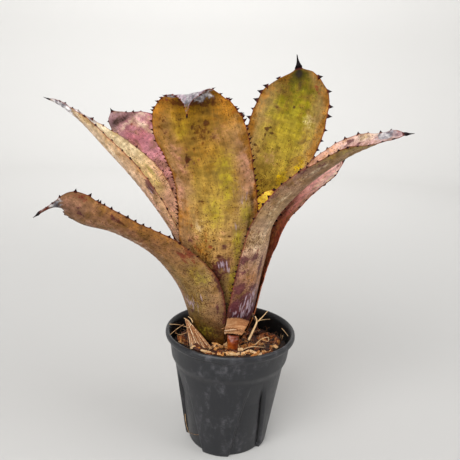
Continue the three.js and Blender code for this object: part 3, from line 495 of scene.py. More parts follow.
# Straws, scraps and threads: the path's points, the radius at its two ends and its tone
STRAWS = [
    ([(14, -29, 100.5), (17, -28, 108), (19.5, -27, 115), (18, -27, 119.5)], (1.0, 0.5), 0.9),
    ([(20.5, -27, 115.5), (24, -25.5, 119), (27.5, -24, 123)], (0.5, 0.25), 0.8),
    ([(19, -27, 115), (24, -25, 116), (30, -22, 115.5)], (0.3, 0.15), 0.8),
    ([(16, -26, 121.5), (17, -26.5, 118), (19.5, -26, 114.5)], (0.9, 0.6), 0.1),
    ([(-33.5, -18, 113), (-31, -19, 111.5), (-29.5, -20, 109)], (0.3, 0.5), 0.9),
    ([(-36.5, -18, 111.5), (-33, -18.5, 109), (-31, -20, 106)], (0.25, 0.5), 0.95),
    ([(-48.5, -14, 104), (-40, -18, 105.5), (-31.5, -20, 104)], (0.2, 0.3), 0.8),
    ([(-47, -22, 98.5), (-42, -21, 103), (-36.5, -20, 107)], (0.2, 0.25), 0.75),
    ([(-43, -22, 100.5), (-39, -21.5, 99), (-34, -22, 101)], (0.2, 0.25), 0.7),
    ([(18.5, -36, 100), (23, -35, 104.5), (28, -34, 106), (28.5, -34, 102.5), (24, -34, 103.5)],
     (0.35, 0.2), 0.85),
    ([(39.5, -20, 107.5), (42, -20.5, 105), (45, -20, 101)], (0.2, 0.2), 0.9),
    ([(8, -38, 96), (16, -37, 99), (26, -33, 97)], (0.5, 0.3), 0.8),
    ([(-34.6, -6.2, 20), (-34.1, -6.1, 14), (-32.8, -5.9, 7.4), (-30.8, -9.4, 4.5)], (0.25, 0.2), 0.8),
    ([(-30, -12.2, 6.3), (-27.3, -18.4, 9.6), (-24.1, -23, 12), (-20.5, -27.6, 15.6)], (0.2, 0.15), 0.6),
]
# Steps along a straw and a strand, and points across and down a large chip's face
STRAW_STEPS = 14
STRAND_STEPS = 12
SLAB_GRID = (28, 34)
# Large husk chips: four corners of the outer face in order, thickness, fray of the ends, mean tone,
# forward curl of the sides, forward bulge of the middle, number of loose strands, and whether its
# grain runs across it
HUSK_CHIPS = [
    {
        "piece": "husk_square", "node": "husk_chip_square", "thickness": 3.0, "fray": 0.6, "tone": 0.58,
        "curl": 1.8, "bulge": 0.0, "strands": 5, "level": True,
        "corners": [(-3, -32, 118), (14, -29, 116), (8.5, -30, 104.5), (-4.7, -30, 105.5)],
    },
    {
        "piece": "husk_glossy", "node": "husk_chip_glossy", "thickness": 4.0, "fray": 0.3, "tone": 0.4,
        "curl": 0.0, "bulge": 2.2, "strands": 0, "level": True,
        "corners": [(-2.5, -29, 103.5), (6.5, -29, 103), (6, -30, 91), (-1.5, -30, 91)],
    },
    {
        "piece": "husk_fibrous", "node": "husk_chip_fibrous", "thickness": 2.5, "fray": 1.0, "tone": 0.72,
        "curl": 0.0, "bulge": 0.0, "strands": 40, "level": False,
        "corners": [(-35, -15, 106), (-29.5, -19, 106), (-14, -27, 91.2), (-31, -26, 91)],
    },
]

# Backdrop: how far its floor runs flat, the radius of the curve, and the heights of the wall's rings
BACKDROP_FLAT = 1500.0
BACKDROP_CURVE = 500.0
BACKDROP_WALL = (1200.0, 1900.0)
# Camera: its target, its distance from it, its height angle, its lean and its lens
CAMERA_TARGET = (-4.0, 0.0, 179.0)
CAMERA_DISTANCE = 437.0
CAMERA_ELEVATION = 14.5
CAMERA_LEAN = 2.6
CAMERA_LENS = 43.98
# Starts of the random numbers for the leaves, the medium and the large chips
LEAF_SEED = 400
MEDIUM_SEED = 5
HUSK_SEED = 11


def linear(hex_colour):
    """Turns an sRGB hex colour to linear: a dark channel is divided by 12.92, a light one raised to 2.4."""
    channels = np.array([int(hex_colour[i:i + 2], 16) for i in (1, 3, 5)]) / 255
    low = channels / 12.92
    high = ((channels + 0.055) / 1.055) ** 2.4
    return tuple(np.where(channels <= 0.04045, low, high)) + (1.0,)


def smoothstep(low, high, value):
    """0 below low, 1 above high, and three squares less two cubes of the share between."""
    share = np.clip((value - low) / (high - low), 0, 1)
    return share * share * (3 - 2 * share)


def unit(vectors):
    """Each vector divided by its length."""
    return vectors / np.linalg.norm(vectors, axis=-1, keepdims=True)


def cubic(start, end, leave, arrive, f):
    """The cubic curve from start to end that leaves and arrives with given slopes, at the share f."""
    return ((2 * f ** 3 - 3 * f ** 2 + 1) * start + (f ** 3 - 2 * f ** 2 + f) * leave
            + (3 * f ** 2 - 2 * f ** 3) * end + (f ** 3 - f ** 2) * arrive)


# Meshes: each is its points in millimetres, a list of face arrays, and values for every point by name

def add_mesh(name, mesh, material, smooth=True):
    """Puts a mesh into an object at the origin."""
    points, faces, attributes = mesh
    corners = np.concatenate([part.reshape(-1) for part in faces]).astype(np.int32)
    sizes = np.concatenate([np.full(len(part), part.shape[1]) for part in faces]).astype(np.int32)
    starts = np.concatenate([[0], np.cumsum(sizes)[:-1]]).astype(np.int32)
    data = bpy.data.meshes.new(name)
    data.vertices.add(len(points))
    data.vertices.foreach_set("co", (points * MM).astype(np.float32).ravel())
    data.loops.add(len(corners))
    data.loops.foreach_set("vertex_index", corners)
    data.polygons.add(len(sizes))
    data.polygons.foreach_set("loop_start", starts)
    data.polygons.foreach_set("loop_total", sizes)
    data.polygons.foreach_set("use_smooth", np.full(len(sizes), smooth))
    for key, values in attributes.items():
        kind, field = ("FLOAT_VECTOR", "vector") if values.ndim == 2 else ("FLOAT", "value")
        layer = data.attributes.new(key, kind, "POINT")
        layer.data.foreach_set(field, values.astype(np.float32).ravel())
    data.update(calc_edges=True)
    data.materials.append(material)
    piece = bpy.data.objects.new(name, data)
    bpy.context.scene.collection.objects.link(piece)
    return piece


def join(*meshes):
    """Several meshes as one."""
    shift = np.cumsum([0] + [len(mesh[0]) for mesh in meshes])
    faces = [face + start for mesh, start in zip(meshes, shift) for face in mesh[1]]
    attributes = {key: np.concatenate([mesh[2][key] for mesh in meshes]) for key in meshes[0][2]}
    return np.vstack([mesh[0] for mesh in meshes]), faces, attributes


def facing_out(mesh):
    """The mesh, with its faces turned round if they enclose a negative volume."""
    points, faces, attributes = mesh
    volume = 0.0
    for part in faces:
        for k in range(1, part.shape[1] - 1):
            volume += np.linalg.det(points[part[:, [0, k, k + 1]]]).sum()
    return mesh if volume > 0 else (points, [part[:, ::-1] for part in faces], attributes)


def skin_faces(rings, around, copies=1):
    """Faces of closed skins whose points follow one another, each skin's rings and then its two end points:
    four-sided faces between neighbouring rings, and a fan from each end ring to its end point."""
    side = np.arange(around)
    after = (side + 1) % around
    row = np.arange(rings - 1)[:, None] * around
    last = (rings - 1) * around
    pole = np.full(around, rings * around)
    above = row + around
    quads = np.stack([row + side, row + after, above + after, above + side], -1).reshape(-1, 4)
    start, end = (pole, after, side), (pole + 1, last + side, last + after)
    fans = np.vstack([np.stack(start, -1), np.stack(end, -1)])
    shift = np.arange(copies)[:, None, None] * (rings * around + 2)
    return [(part + shift).reshape(-1, part.shape[1]) for part in (quads, fans)]


def tubes(paths, radii, sides, flat=1.0):
    """Closed tubes along paths of shape (tubes, steps, 3): a ring of sides points stands square to each
    step, a circle of the step's radius, pressed to the share flat in one direction."""
    copies, steps, _ = paths.shape
    along = unit(np.gradient(paths, axis=1))
    guide = np.array([0.31, 0.9, 0.3])
    first = unit(np.cross(along, guide))
    second = np.cross(first, along)
    turn = np.arange(sides) * 2 * np.pi / sides
    ring = np.cos(turn)[:, None] * first[:, :, None] + flat * np.sin(turn)[:, None] * second[:, :, None]
    points = (paths[:, :, None] + ring * radii[:, :, None, None]).reshape(copies, -1, 3)
    points = np.concatenate([points, paths[:, [0, -1]]], axis=1)
    return points.reshape(-1, 3), skin_faces(steps, sides, copies)


def through(points, steps):
    """A smooth path through a few points: cubic spans whose slope at a point is half the step across it."""
    points = np.array(points, float)
    slopes = np.gradient(points, axis=0)
    place = np.linspace(0, len(points) - 1, steps)
    index = np.minimum(place.astype(int), len(points) - 2)
    f = (place - index)[:, None]
    return cubic(points[index], points[index + 1], slopes[index], slopes[index + 1], f)


# Leaves

def leaf_stations(leaf):
    """Stations of the midrib: those of the sheath lie on the flared tube round the plant axis, on the
    leaf's azimuth, a layer step further in for each leaf outside it. Those of the blade follow, then
    the tip. The number of sheath stations and the direction away from the axis come with them."""
    azimuth = math.radians(leaf["azimuth"])
    outward = np.array([math.cos(azimuth), math.sin(azimuth), 0.0])
    least = leaf["start"] + SHEATH_GAP
    heights = [leaf["start"]] + [z for z in SHEATH_HEIGHTS if least < z <= leaf["top"]]
    profile = np.array(SHEATH_PROFILE)
    radius = np.interp(heights, profile[:, 0], profile[:, 1]) - SHEATH_LAYER_STEP * leaf["layer"]
    sheath = np.zeros((len(heights), 6))
    sheath[:, :2] = PLANT_AXIS + radius[:, None] * outward[:2]
    sheath[:, 2] = heights
    sheath[:, 3] = radius * math.radians(leaf["wrap"])
    sheath[:, 4] = leaf["wrap"]
    roll, turn = leaf["blade"][-1][4:]
    tip = (*leaf["tip"], TIP_HALF_WIDTH, roll, turn)
    return np.vstack([sheath, leaf["blade"], [tip]]), len(heights), outward


def make_track(stations):
    """Knots at the length of the chords so far, the stations, and a slope at each: the mean of the
    slopes on its two sides, each weighted by the length of the other side."""
    knots = np.concatenate([[0], np.cumsum(np.linalg.norm(np.diff(stations[:, :3], axis=0), axis=1))])
    spans = np.diff(knots)[:, None]
    rates = np.diff(stations, axis=0) / spans
    middle = (rates[:-1] * spans[1:] + rates[1:] * spans[:-1]) / (spans[1:] + spans[:-1])
    return knots, stations, np.vstack([rates[:1], middle, rates[-1:]])


def read_track(track, lengths):
    """The cubic curve with the stations' values and slopes, at each length along the midrib."""
    knots, values, slopes = track
    index = np.clip(np.searchsorted(knots, lengths, side="right") - 1, 0, len(knots) - 2)
    span = (knots[index + 1] - knots[index])[:, None]
    f = np.clip((lengths - knots[index])[:, None] / span, 0, 1)
    return cubic(values[index], values[index + 1], span * slopes[index], span * slopes[index + 1], f)


def leaf_frames(track, lengths, outward, sheath_count):
    """Directions along the leaf, across it and towards its inner face at each length. Sections stay level
    in the sheath and turn square to the midrib over the first span of the blade."""
    tangent = unit(read_track(track, lengths + 0.05)[:, :3] - read_track(track, lengths - 0.05)[:, :3])
    knots = track[0]
    freedom = smoothstep(knots[sheath_count - 1], knots[sheath_count], lengths)[:, None]
    up = np.array([0, 0, 1.0])
    along = unit(up * (1 - freedom) + tangent * freedom)
    pitch = np.arctan2(along @ outward, along[:, 2])[:, None]
    across = unit(np.cross(along, up * np.sin(pitch) - outward * np.cos(pitch)))
    return along, across, np.cross(across, along)


def leaf_rows(leaf, track, lengths, outward, sheath_count):
    """Everything one row of the leaf needs: its midrib, half width, arc, and turned directions. The blade
    rounds off before its horn: its width falls with the square root of what is left. The horn tapers to
    a point, quickly at first: with the share of its length left and its fourth power."""
    state = read_track(track, lengths)
    along, across, inner = leaf_frames(track, lengths, outward, sheath_count)
    turn = np.radians(state[:, 5])[:, None]
    left = track[0][-1] - lengths
    horn_length, horn_width = leaf["horn"]
    blade = state[:, 3] * np.sqrt(np.clip((left - horn_length) / BLADE_END, 0, 1))
    share = np.clip(left / horn_length, 0, 1)
    thorn = HORN_POINT + horn_width * (0.4 * share + 0.6 * share ** 4)
    return {
        "midrib": state[:, :3], "width": np.maximum(blade, thorn), "along": along,
        "arc": np.radians(np.maximum(state[:, 4], 2)),
        "across": across * np.cos(turn) + inner * np.sin(turn),
        "inner": inner * np.cos(turn) - across * np.sin(turn),
    }


def leaf_points(rows, place, offset):
    """Points across each row. The section is an arc of a circle, the half width long on each side of the
    midrib. place runs from -1 to 1 across it, and offset moves a point towards the inner face."""
    angle = rows["arc"][:, None] * place
    radius = (rows["width"] / rows["arc"])[:, None]
    sideways = (radius - offset) * np.sin(angle)
    inwards = radius - (radius - offset) * np.cos(angle)
    return (rows["midrib"][:, None] + rows["across"][:, None] * sideways[..., None]
            + rows["inner"][:, None] * inwards[..., None])


def spine_lengths(leaf, knots, sheath_count, random):
    """Where the marginal spines stand: from above the sheath to near the tip, their spacing changing
    evenly from that of the base to that of the tip, each moved a little at random."""
    first = knots[sheath_count - 1] + BARE_MARGIN
    last = knots[-1] - leaf["horn"][0] - BARE_TIP
    low, high = leaf["spacing"]
    count = int((last - first) / ((low + high) / 2))
    share = (np.arange(count) + 0.5) / count
    eased = share * 2 * low / (low + high) + share ** 2 * (high - low) / (low + high)
    return first + (last - first) * eased + random.normal(0, SPINE_STRAY, count)


def leaf_spines(rows, side, lengths, size, hook):
    """A spine at each row on one margin: rings of a pressed cone that narrows with the share of its length
    left, raised to a power, and bends towards the leaf's tip with the square of the share gone."""
    count, share = len(lengths), SPINE_RINGS
    turn = np.arange(SPINE_SIDES) * 2 * np.pi / SPINE_SIDES
    edge = leaf_points(rows, np.full((count, 1), side), np.zeros((count, 1)))[:, 0]
    lean = SPINE_LEAN * rows["arc"][:, None]
    out = rows["across"] * side * np.cos(lean) + rows["inner"] * np.sin(lean)
    normal = np.cross(out, rows["along"])
    narrow = (1 - share)[:, None] ** SPINE_NARROWING
    centre = (edge[:, None] + out[:, None] * (share * size[:, None])[..., None]
              + rows["along"][:, None] * (hook * share ** 2 * size[:, None])[..., None])
    lengthwise = SPINE_HALF_WIDTH * size[:, None, None] * narrow * np.cos(turn)
    thickness = SPINE_HALF_THICKNESS * narrow * np.sin(turn)
    rings = (centre[:, :, None] + rows["along"][:, None, None] * lengthwise[..., None]
             + normal[:, None, None] * thickness[..., None])
    apex = edge + out * size[:, None] + rows["along"] * (hook * size)[:, None]
    points = np.concatenate([rings.reshape(count, -1, 3), centre[:, :1], apex[:, None]], axis=1)
    each = points.shape[1]
    faces = skin_faces(len(share), SPINE_SIDES, count)
    if side < 0:
        faces = [part[:, ::-1] for part in faces]
    height = np.concatenate([np.repeat(np.maximum(share, 0.02), SPINE_SIDES), [0.02, 1.0]])
    on_leaf = {"across": np.full(count * each, float(side)), "along": np.repeat(lengths, each),
               "inner": np.full(count * each, 0.5), "spine": np.tile(height, count)}
    return points.reshape(-1, 3), faces, on_leaf


def skin_waves(beside, lengths, phase):
    """Waves of the skin: lengthwise folds, a sine every 9 mm of the distance from the midrib whose phase
    drifts along the leaf, and in patches crosswise crinkles, a sine every 5 mm along it."""
    down = lengths[:, None]
    folds = np.sin(0.7 * beside + 0.8 * np.sin(0.03 * down + phase[2]) + phase[3])
    crinkles = np.sin(1.2 * down + 1.5 * np.sin(0.25 * beside + phase[0]) + np.sin(0.11 * down + phase[1]))
    patches = 0.5 + 0.5 * np.sin(0.07 * down + 0.12 * beside + phase[1])
    return folds + crinkles * patches


def leaf_skin(leaf, lengths, rows, blade, spines, thickness, phase):
    """A closed loop of points per row, along the outer face, round one margin, back along the inner face
    and round the other. The margin swells at each spine by e to minus the square of the distance from
    it, waves by two sines of the length, and is thinner than the middle. Near the tip the section
    turns into the horn's, which is nearly round. blade is 0 in the sheath and 1 on the blade."""
    end = lengths[-1]
    tip = end - leaf["horn"][0]
    spread = np.linspace(-1, 1, LEAF_COLUMNS)
    place = spread + COLUMN_CROWDING * np.sin(np.pi * spread) / np.pi
    blade = blade * (1 - smoothstep(tip - 9, tip - 1, lengths))
    swell_length = SWELL_LENGTH * np.interp(lengths, [0, end], leaf["spacing"])
    swell = {side: np.exp(-(np.abs(lengths[:, None] - where).min(1) / swell_length) ** 2)
             for side, where in spines.items()}
    wave = (np.sin(lengths * 0.16 + phase[0]) + 0.6 * np.sin(lengths * 0.37 + phase[1])) * blade
    width = rows["width"][:, None]
    near_edge = np.abs(place) ** 4
    waves = leaf["crinkle"] * skin_waves(width * place, lengths, phase) * blade[:, None]
    waves = waves + MARGIN_WAVE * wave[:, None] * near_edge * np.sign(place)
    horny = smoothstep(tip - 0.5, tip + 1.5, lengths)[:, None]
    half = thickness / 2 * (1 - MARGIN_THINNING * near_edge) * (1 - horny) + 0.8 * width * horny
    grown = np.where(place < 0, swell[-1][:, None], swell[1][:, None]) * np.abs(place) ** 30
    wider = place * (1 + SWELL_HEIGHT * grown * (swell_length * blade)[:, None] / width)
    outer, inner = (leaf_points(rows, wider, waves + way * half) for way in (-1, 1))

    arc = rows["arc"][:, None]
    rims = []
    for side, column in ((1, -1), (-1, 0)):
        out = rows["across"] * side * np.cos(arc) + rows["inner"] * np.sin(arc)
        rims.append(((outer + inner)[:, column] / 2 + out * thickness * MARGIN_BULGE)[:, None])
    loop = np.concatenate([outer, rims[0], inner[:, ::-1], rims[1]], axis=1)
    count, around = loop.shape[:2]
    last = (count - 1) * around
    columns = LEAF_COLUMNS
    cap = np.arange(columns - 1)
    closing = np.stack([cap, cap + 1, 2 * columns - cap - 1, 2 * columns - cap], -1)
    ends = np.array([[columns - 1, columns, columns + 1], [0, 2 * columns, 2 * columns + 1]])
    quads = skin_faces(count, around)[0][:, ::-1]
    faces = [quads, closing, closing[:, ::-1] + last, ends, ends[:, ::-1] + last]
    sides = np.concatenate([np.zeros(columns), [0.5], np.ones(columns), [0.5]])
    on_leaf = {"across": np.tile(np.concatenate([place, [1.0], place[::-1], [-1.0]]), count),
               "along": np.repeat(lengths, around), "inner": np.tile(sides, count),
               "spine": np.repeat(smoothstep(tip - 1.5, tip + 1, lengths) * 0.9, around)}
    return loop.reshape(-1, 3), faces, on_leaf


def mark_strength(leaf, kind, across, along, width, inner):
    """How strongly one kind of mark shows: for each mark, its strength times e to minus the square of the
    distance from its middle, in its half sizes. The strongest wins. Marks lie on the face they name."""
    strength = np.zeros(len(across))
    for marks, seen in ((leaf["outer_marks"], inner < 0.6), (leaf["inner_marks"], inner > 0.4)):
        for place, length, half_across, half_along, most in marks.get(kind, ()):
            distance = ((across - place) * width / half_across) ** 2 + ((along - length) / half_along) ** 2
            strength = np.maximum(strength, most * np.exp(-distance) * seen)
    return strength


def leaf_mesh(leaf, thickness, spine_scale):
    """The leaf's skin and marginal spines, with the values that its material reads. A spine is shorter low
    on the leaf and where the blade is narrow."""
    random = np.random.default_rng(len(leaf["piece"]) * 31 + leaf["azimuth"] + LEAF_SEED)
    stations, sheath_count, outward = leaf_stations(leaf)
    track = make_track(stations)
    knots = track[0]
    lengths = np.linspace(0, knots[-1], int(knots[-1] / ROW_STEP) + 1)
    spines = {side: spine_lengths(leaf, knots, sheath_count, random) for side in (-1, 1)}
    phase = random.uniform(0, 6.28, 4)
    rows = leaf_rows(leaf, track, lengths, outward, sheath_count)
    blade = smoothstep(knots[sheath_count - 1], knots[sheath_count], lengths)
    parts = [leaf_skin(leaf, lengths, rows, blade, spines, thickness, phase)]
    for side, where in spines.items():
        rows = leaf_rows(leaf, track, where, outward, sheath_count)
        size = leaf["spine"] * spine_scale * random.uniform(*SPINE_SIZES, len(where))
        size = size * (0.7 + 0.3 * smoothstep(0, 40, where - where[0])) * np.clip(rows["width"] / 6, 0.5, 1)
        parts.append(leaf_spines(rows, side, where, size, leaf["hook"]))
    points, faces, on_leaf = join(*parts)
    across, along, inner = on_leaf["across"], on_leaf["along"], on_leaf["inner"]
    width = read_track(track, along)[:, 3]
    marks = {kind: mark_strength(leaf, kind, across, along, width, inner) for kind in MARK_KINDS}
    flat = np.stack([across * width, along, np.zeros(len(along))], -1) * MM
    return points, faces, {**on_leaf, **marks, "along": along / knots[-1], "flat": flat}


# Materials

def add_node(tree, kind, inputs=(), stops=(), **settings):
    """Adds a node, sets its properties and colour stops, and sets or links its inputs, which are named or
    stand in the node's own order. A node among them stands for its result."""
    node = tree.nodes.new("ShaderNode" + kind)
    for key, value in settings.items():
        setattr(node, key, value)
    for key, value in inputs.items() if isinstance(inputs, dict) else enumerate(inputs):
        if isinstance(value, bpy.types.Node):
            value = next(socket for socket in value.outputs if socket.enabled)
        if isinstance(value, bpy.types.NodeSocket):
            tree.links.new(value, node.inputs[key])
        else:
            node.inputs[key].default_value = value
    for index, (position, colour) in enumerate(stops):
        # A new ramp has two stops
        elements = node.color_ramp.elements
        element = elements[index] if index < 2 else elements.new(position)
        element.position = position
        element.color = linear(colour)
    return node


def new_material(name):
    """An empty node material, and the function that adds a node to it."""
    material = bpy.data.materials.new(name)
    material.use_nodes = True
    material.node_tree.nodes.clear()
    return material, partial(add_node, material.node_tree)


def close_material(node, inputs):
    """Adds the shader, with its inputs, and the material's output."""
    node("OutputMaterial", (node("BsdfPrincipled", inputs),))


def weighted(node, start, *terms):
    """Start, with each term's value times its weight added to it."""
    for value, weight in terms:
        start = node("Math", (value, weight, start), operation="MULTIPLY_ADD")
    return start


def face_colour(node, colours, along, edge):
    """Colours of one leaf face: the middle's run and the sides' run along the leaf, mixed by the distance
    from the midrib."""
    middle, sides = (node("ValToRGB", (along,), stops=colours[run]) for run in ("middle", "sides"))
    share = node("MapRange", (edge, 0.25, 0.85), interpolation_type="SMOOTHSTEP")
    return node("Mix", {0: share, 6: middle, 7: sides}, data_type="RGBA")


def mark_share(node, kind, strength, rough_edge):
    """How much of a mark's colour shows: its strength, made ragged by the mottling, between the kind's
    start and stop, and nothing where there is no mark."""
    start, stop, most, raggedness = MARK_KINDS[kind]
    level = weighted(node, strength, (rough_edge, raggedness))
    share = node("MapRange", (level, start, stop, 0, most), interpolation_type="SMOOTHSTEP")
    gate = node("MapRange", (strength, 0.02, 0.3))
    return node("Math", (share, gate), operation="MULTIPLY")


def leaf_material(leaf, colours):
    """Living bromeliad leaf: a waxy skin over fine lengthwise fibres, blotched, speckled with scars and
    creased across. It gives the eye a soft satin with colour that drifts along the blade, a dark line
    and horny spines on its margin, and dry papery tips."""
    material, node = new_material("waxy leaf skin, " + leaf["piece"].replace("_", " "))
    read = {key: node("Attribute", attribute_name=key).outputs["Fac"]
            for key in ("across", "along", "inner", "spine", *MARK_KINDS)}
    flat = node("Attribute", attribute_name="flat").outputs["Vector"]
    position = node("TexCoord").outputs["Object"]
    # Clouds 18 mm across, blotches of 8 mm, mottling of 4 mm, grit of 1.5 mm and freckles of 1 mm
    cloud, blotch, mottle, grit, freckle = (
        node("TexNoise", {"Vector": position, "Scale": scale, "Detail": detail})
        for scale, detail in ((55, 2), (125, 3), (240, 4), (600, 3), (980, 1)))
    # Fibres 0.8 mm apart along the leaf, creases 2.5 mm apart across it, and streaks 4 and 1.6 mm wide
    # along it
    stretched = (node("Mapping", {"Vector": flat, "Scale": scale})
                 for scale in ((1250, 90, 1), (70, 420, 1), (240, 22, 1), (620, 130, 1)))
    fibre, crease, streak, streak_fine = (
        node("TexNoise", {"Vector": vector, "Scale": 1, "Detail": 3}) for vector in stretched)

    along = weighted(node, -0.1, (cloud, 0.2), (read["along"], 1))
    distance = node("Math", (read["across"],), operation="ABSOLUTE")
    edge = weighted(node, -0.35, (blotch, 0.7), (distance, 1))
    outer, inner = (face_colour(node, leaf[face], along, edge) for face in ("outer", "inner"))
    skin = node("Mix", {0: read["inner"], 6: outer, 7: inner}, data_type="RGBA")

    # Darker blotches. Freckles grow thicker towards the base. Scars are ragged, of random size, and fewer
    patches = weighted(node, blotch, (cloud, 0.5), (grit, 0.4), (read["along"], 0.1))
    blotches = node("MapRange", (patches, 0.96, 1.2, 0, 0.6), interpolation_type="SMOOTHSTEP")
    thick = node("MapRange", (read["along"], 0.15, 0.7, 0.1, -0.01))
    level = weighted(node, thick, (freckle, 1), (cloud, 0.4))
    freckles = node("MapRange", (level, 0.81, 0.91, 0, 0.7), interpolation_type="SMOOTHSTEP")
    cell = node("TexVoronoi", {"Vector": position, "Scale": 120})
    size = node("SeparateColor", (cell.outputs["Color"],))
    level = weighted(node, cell.outputs["Distance"], (grit, 0.9), (size, -0.28))
    scars = node("MapRange", (level, 0.34, 0.24, 0, 0.5), interpolation_type="SMOOTHSTEP")

    # An orange band inside the margin, a dark red line on it, and horn on the spines
    band = node("MapRange", (edge, 0.84, 1.04, 0, RIM_BAND[leaf["slot"]]), interpolation_type="SMOOTHSTEP")
    line = node("MapRange", (distance, 0.965, 1.0, 0, 0.8), interpolation_type="SMOOTHSTEP")
    line = node("Math", (line, node("MapRange", (read["along"], 0.12, 0.25))), operation="MULTIPLY")
    horny = node("MapRange", (read["spine"], 0, 0.03))
    horn = node("ValToRGB", (read["spine"],), stops=[(0.0, "#56221a"), (0.25, "#2e1212"), (0.6, "#120a0c")])

    rough_edge = weighted(node, -1.0, (mottle, 1.1), (grit, 0.9))
    streaky = weighted(node, -0.7, (streak_fine, 1.4))
    dry = node("ValToRGB", (mottle,), stops=[(0.36, "#55525a"), (0.5, "#8c898e"), (0.66, "#c4bfbe")])
    # Some marks paint light, not skin: pale ones paint highlights on keels and a rolled edge, spot and dark
    # ones paint shade under a fold and between leaves, and red ones the shadow on the low right leaf.
    share = {kind: mark_share(node, kind, read[kind], streaky if kind == "sheen" else rough_edge)
             for kind in MARK_KINDS}
    layers = [(share[kind], kind) for kind in SOFT_MARKS]
    layers += [(band, "rim_band"), (blotches, "blotch"), (freckles, "spot"), (scars, "spot")]
    layers += [(share[kind], dry if kind == "dried" else kind) for kind in SHARP_MARKS]
    layers += [(line, "rim_line"), (horny, horn)]
    for amount, colour in layers:
        if isinstance(colour, str):
            colour = (*getattr(colours, colour), 1)
        skin = node("Mix", {0: amount, 6: skin, 7: colour}, data_type="RGBA")

    # Clouds, mottling, streaks, fibres and creases lighten and darken it
    tone = leaf["tone"]
    for value, low, high in ((cloud, 0.76, 1.26), (mottle, 0.74, 1.28), (streak, 0.84, 1.16),
                             (fibre, 0.86, 1.14), (crease, 0.84, 1.16), (grit, 0.8, 1.2)):
        tone = node("Math", (node("MapRange", (value, 0.3, 0.7, low, high)), tone), operation="MULTIPLY")
    skin = node("HueSaturation", {"Saturation": leaf["richness"], "Value": tone, "Color": skin})
    relief = weighted(node, mottle, (fibre, 0.6), (crease, 0.8))
    bump = node("Bump", {"Height": relief, "Strength": 0.45, "Distance": 0.0006})
    dull = node("Math", (read["dried"], 0.85), operation="MULTIPLY")
    gloss = node("Math", (node("MapRange", (mottle, 0.3, 0.7, 0.6, 0.42)), dull), operation="MAXIMUM")
    close_material(node, {"Base Color": skin, "Roughness": gloss, "Normal": bump, "IOR": 1.42,
                          "Specular IOR Level": 0.12})
    return material


def pot_material(settings):
    """Black polypropylene, injection moulded: a fine matt grain, handled and dusty. It gives the eye a
    charcoal satin with pale smudges."""
    material, node = new_material("moulded black polypropylene")
    position = node("TexCoord").outputs["Object"]
    # Smudges 20 mm across broken by 3 mm dust, and vertical rub marks
    smudge = node("TexNoise", {"Vector": position, "Scale": 48, "Detail": 4, "Roughness": 0.6})
    dust = node("TexNoise", {"Vector": position, "Scale": 330, "Detail": 5, "Roughness": 0.7})
    stretched = node("Mapping", {"Vector": position, "Scale": (190, 190, 45)})
    rub = node("TexNoise", {"Vector": stretched, "Scale": 1, "Detail": 2})
    cover = node("Math", (node("Math", (smudge, dust), operation="MULTIPLY"), rub), operation="MULTIPLY")
    share = node("MapRange", (cover, 0.11, 0.3, 0, 0.5), interpolation_type="SMOOTHSTEP")
    colour = node("Mix", {0: share, 6: (*settings.plastic, 1), 7: (*settings.dust, 1)}, data_type="RGBA")
    # Painted shade: the inner wall and the slots are mixed to near black for the shade inside the pot and
    # in the slots.
    inside = node("Attribute", attribute_name="inside").outputs["Fac"]
    colour = node("Mix", {0: inside, 6: colour, 7: linear("#0a0a0b")}, data_type="RGBA")
    rough = node("MapRange", (cover, 0.08, 0.26, 0.36, 0.66))
    grain = node("TexNoise", {"Vector": position, "Scale": 1600, "Detail": 1})
    bump = node("Bump", {"Height": grain, "Strength": 0.15, "Distance": 0.0002})
    close_material(node, {"Base Color": colour, "Roughness": rough, "Normal": bump, "IOR": 1.49})
    return material


def husk_material(name, stops, streak_scale, roughness=0.8):
    """Coconut husk: dry fibres in a soft pith, broken by hand. It gives the eye a matt fibrous brown whose
    tone changes from piece to piece."""
    material, node = new_material(name)
    tone = node("Attribute", attribute_name="tone").outputs["Fac"]
    grain = node("Attribute", attribute_name="grain").outputs["Vector"]
    position = node("TexCoord").outputs["Object"]
    speck = node("TexNoise", {"Vector": position, "Scale": 700, "Detail": 3})
    stretched = node("Mapping", {"Vector": grain, "Scale": streak_scale})
    streak = node("TexNoise", {"Vector": stretched, "Scale": 1, "Detail": 3})
    level = weighted(node, -0.6, (streak, 0.9), (tone, 1), (speck, 0.3))
    colour = node("ValToRGB", (level,), stops=stops)
    bump = node("Bump", {"Height": streak, "Strength": 0.7, "Distance": 0.0008})
    close_material(node, {"Base Color": colour, "Roughness": roughness, "Normal": bump})
    return material


def bed_material():
    """Crumbled coir and bark dust between the chips: matt dark brown, darkened towards near black as
    painted shade for the gaps between the chips.
    """
    material, node = new_material("crumbled coir dust")
    position = node("TexCoord").outputs["Object"]
    crumb = node("TexNoise", {"Vector": position, "Scale": 500, "Detail": 5, "Roughness": 0.7})
    colour = node("ValToRGB", (crumb,), stops=[(0.3, "#0d0805"), (0.55, "#2a170c"), (0.75, "#5a3216")])
    bump = node("Bump", {"Height": crumb, "Strength": 1.0, "Distance": 0.002})
    close_material(node, {"Base Color": colour, "Roughness": 0.9, "Normal": bump})
    return material


def stem_material():
    """Short woody stem with old leaf scars: rough and dull brown."""
    material, node = new_material("scarred stem bark")
    stretched = node("Mapping", {"Vector": node("TexCoord").outputs["Object"], "Scale": (120, 120, 500)})
    scar = node("TexNoise", {"Vector": stretched, "Scale": 1, "Detail": 4})
    colour = node("ValToRGB", (scar,), stops=[(0.3, "#2c2010"), (0.6, "#5b4a2a"), (0.8, "#7d6a40")])
    bump = node("Bump", {"Height": scar, "Strength": 0.8, "Distance": 0.001})
    close_material(node, {"Base Color": colour, "Roughness": 0.8, "Normal": bump})
    return material


# Pot

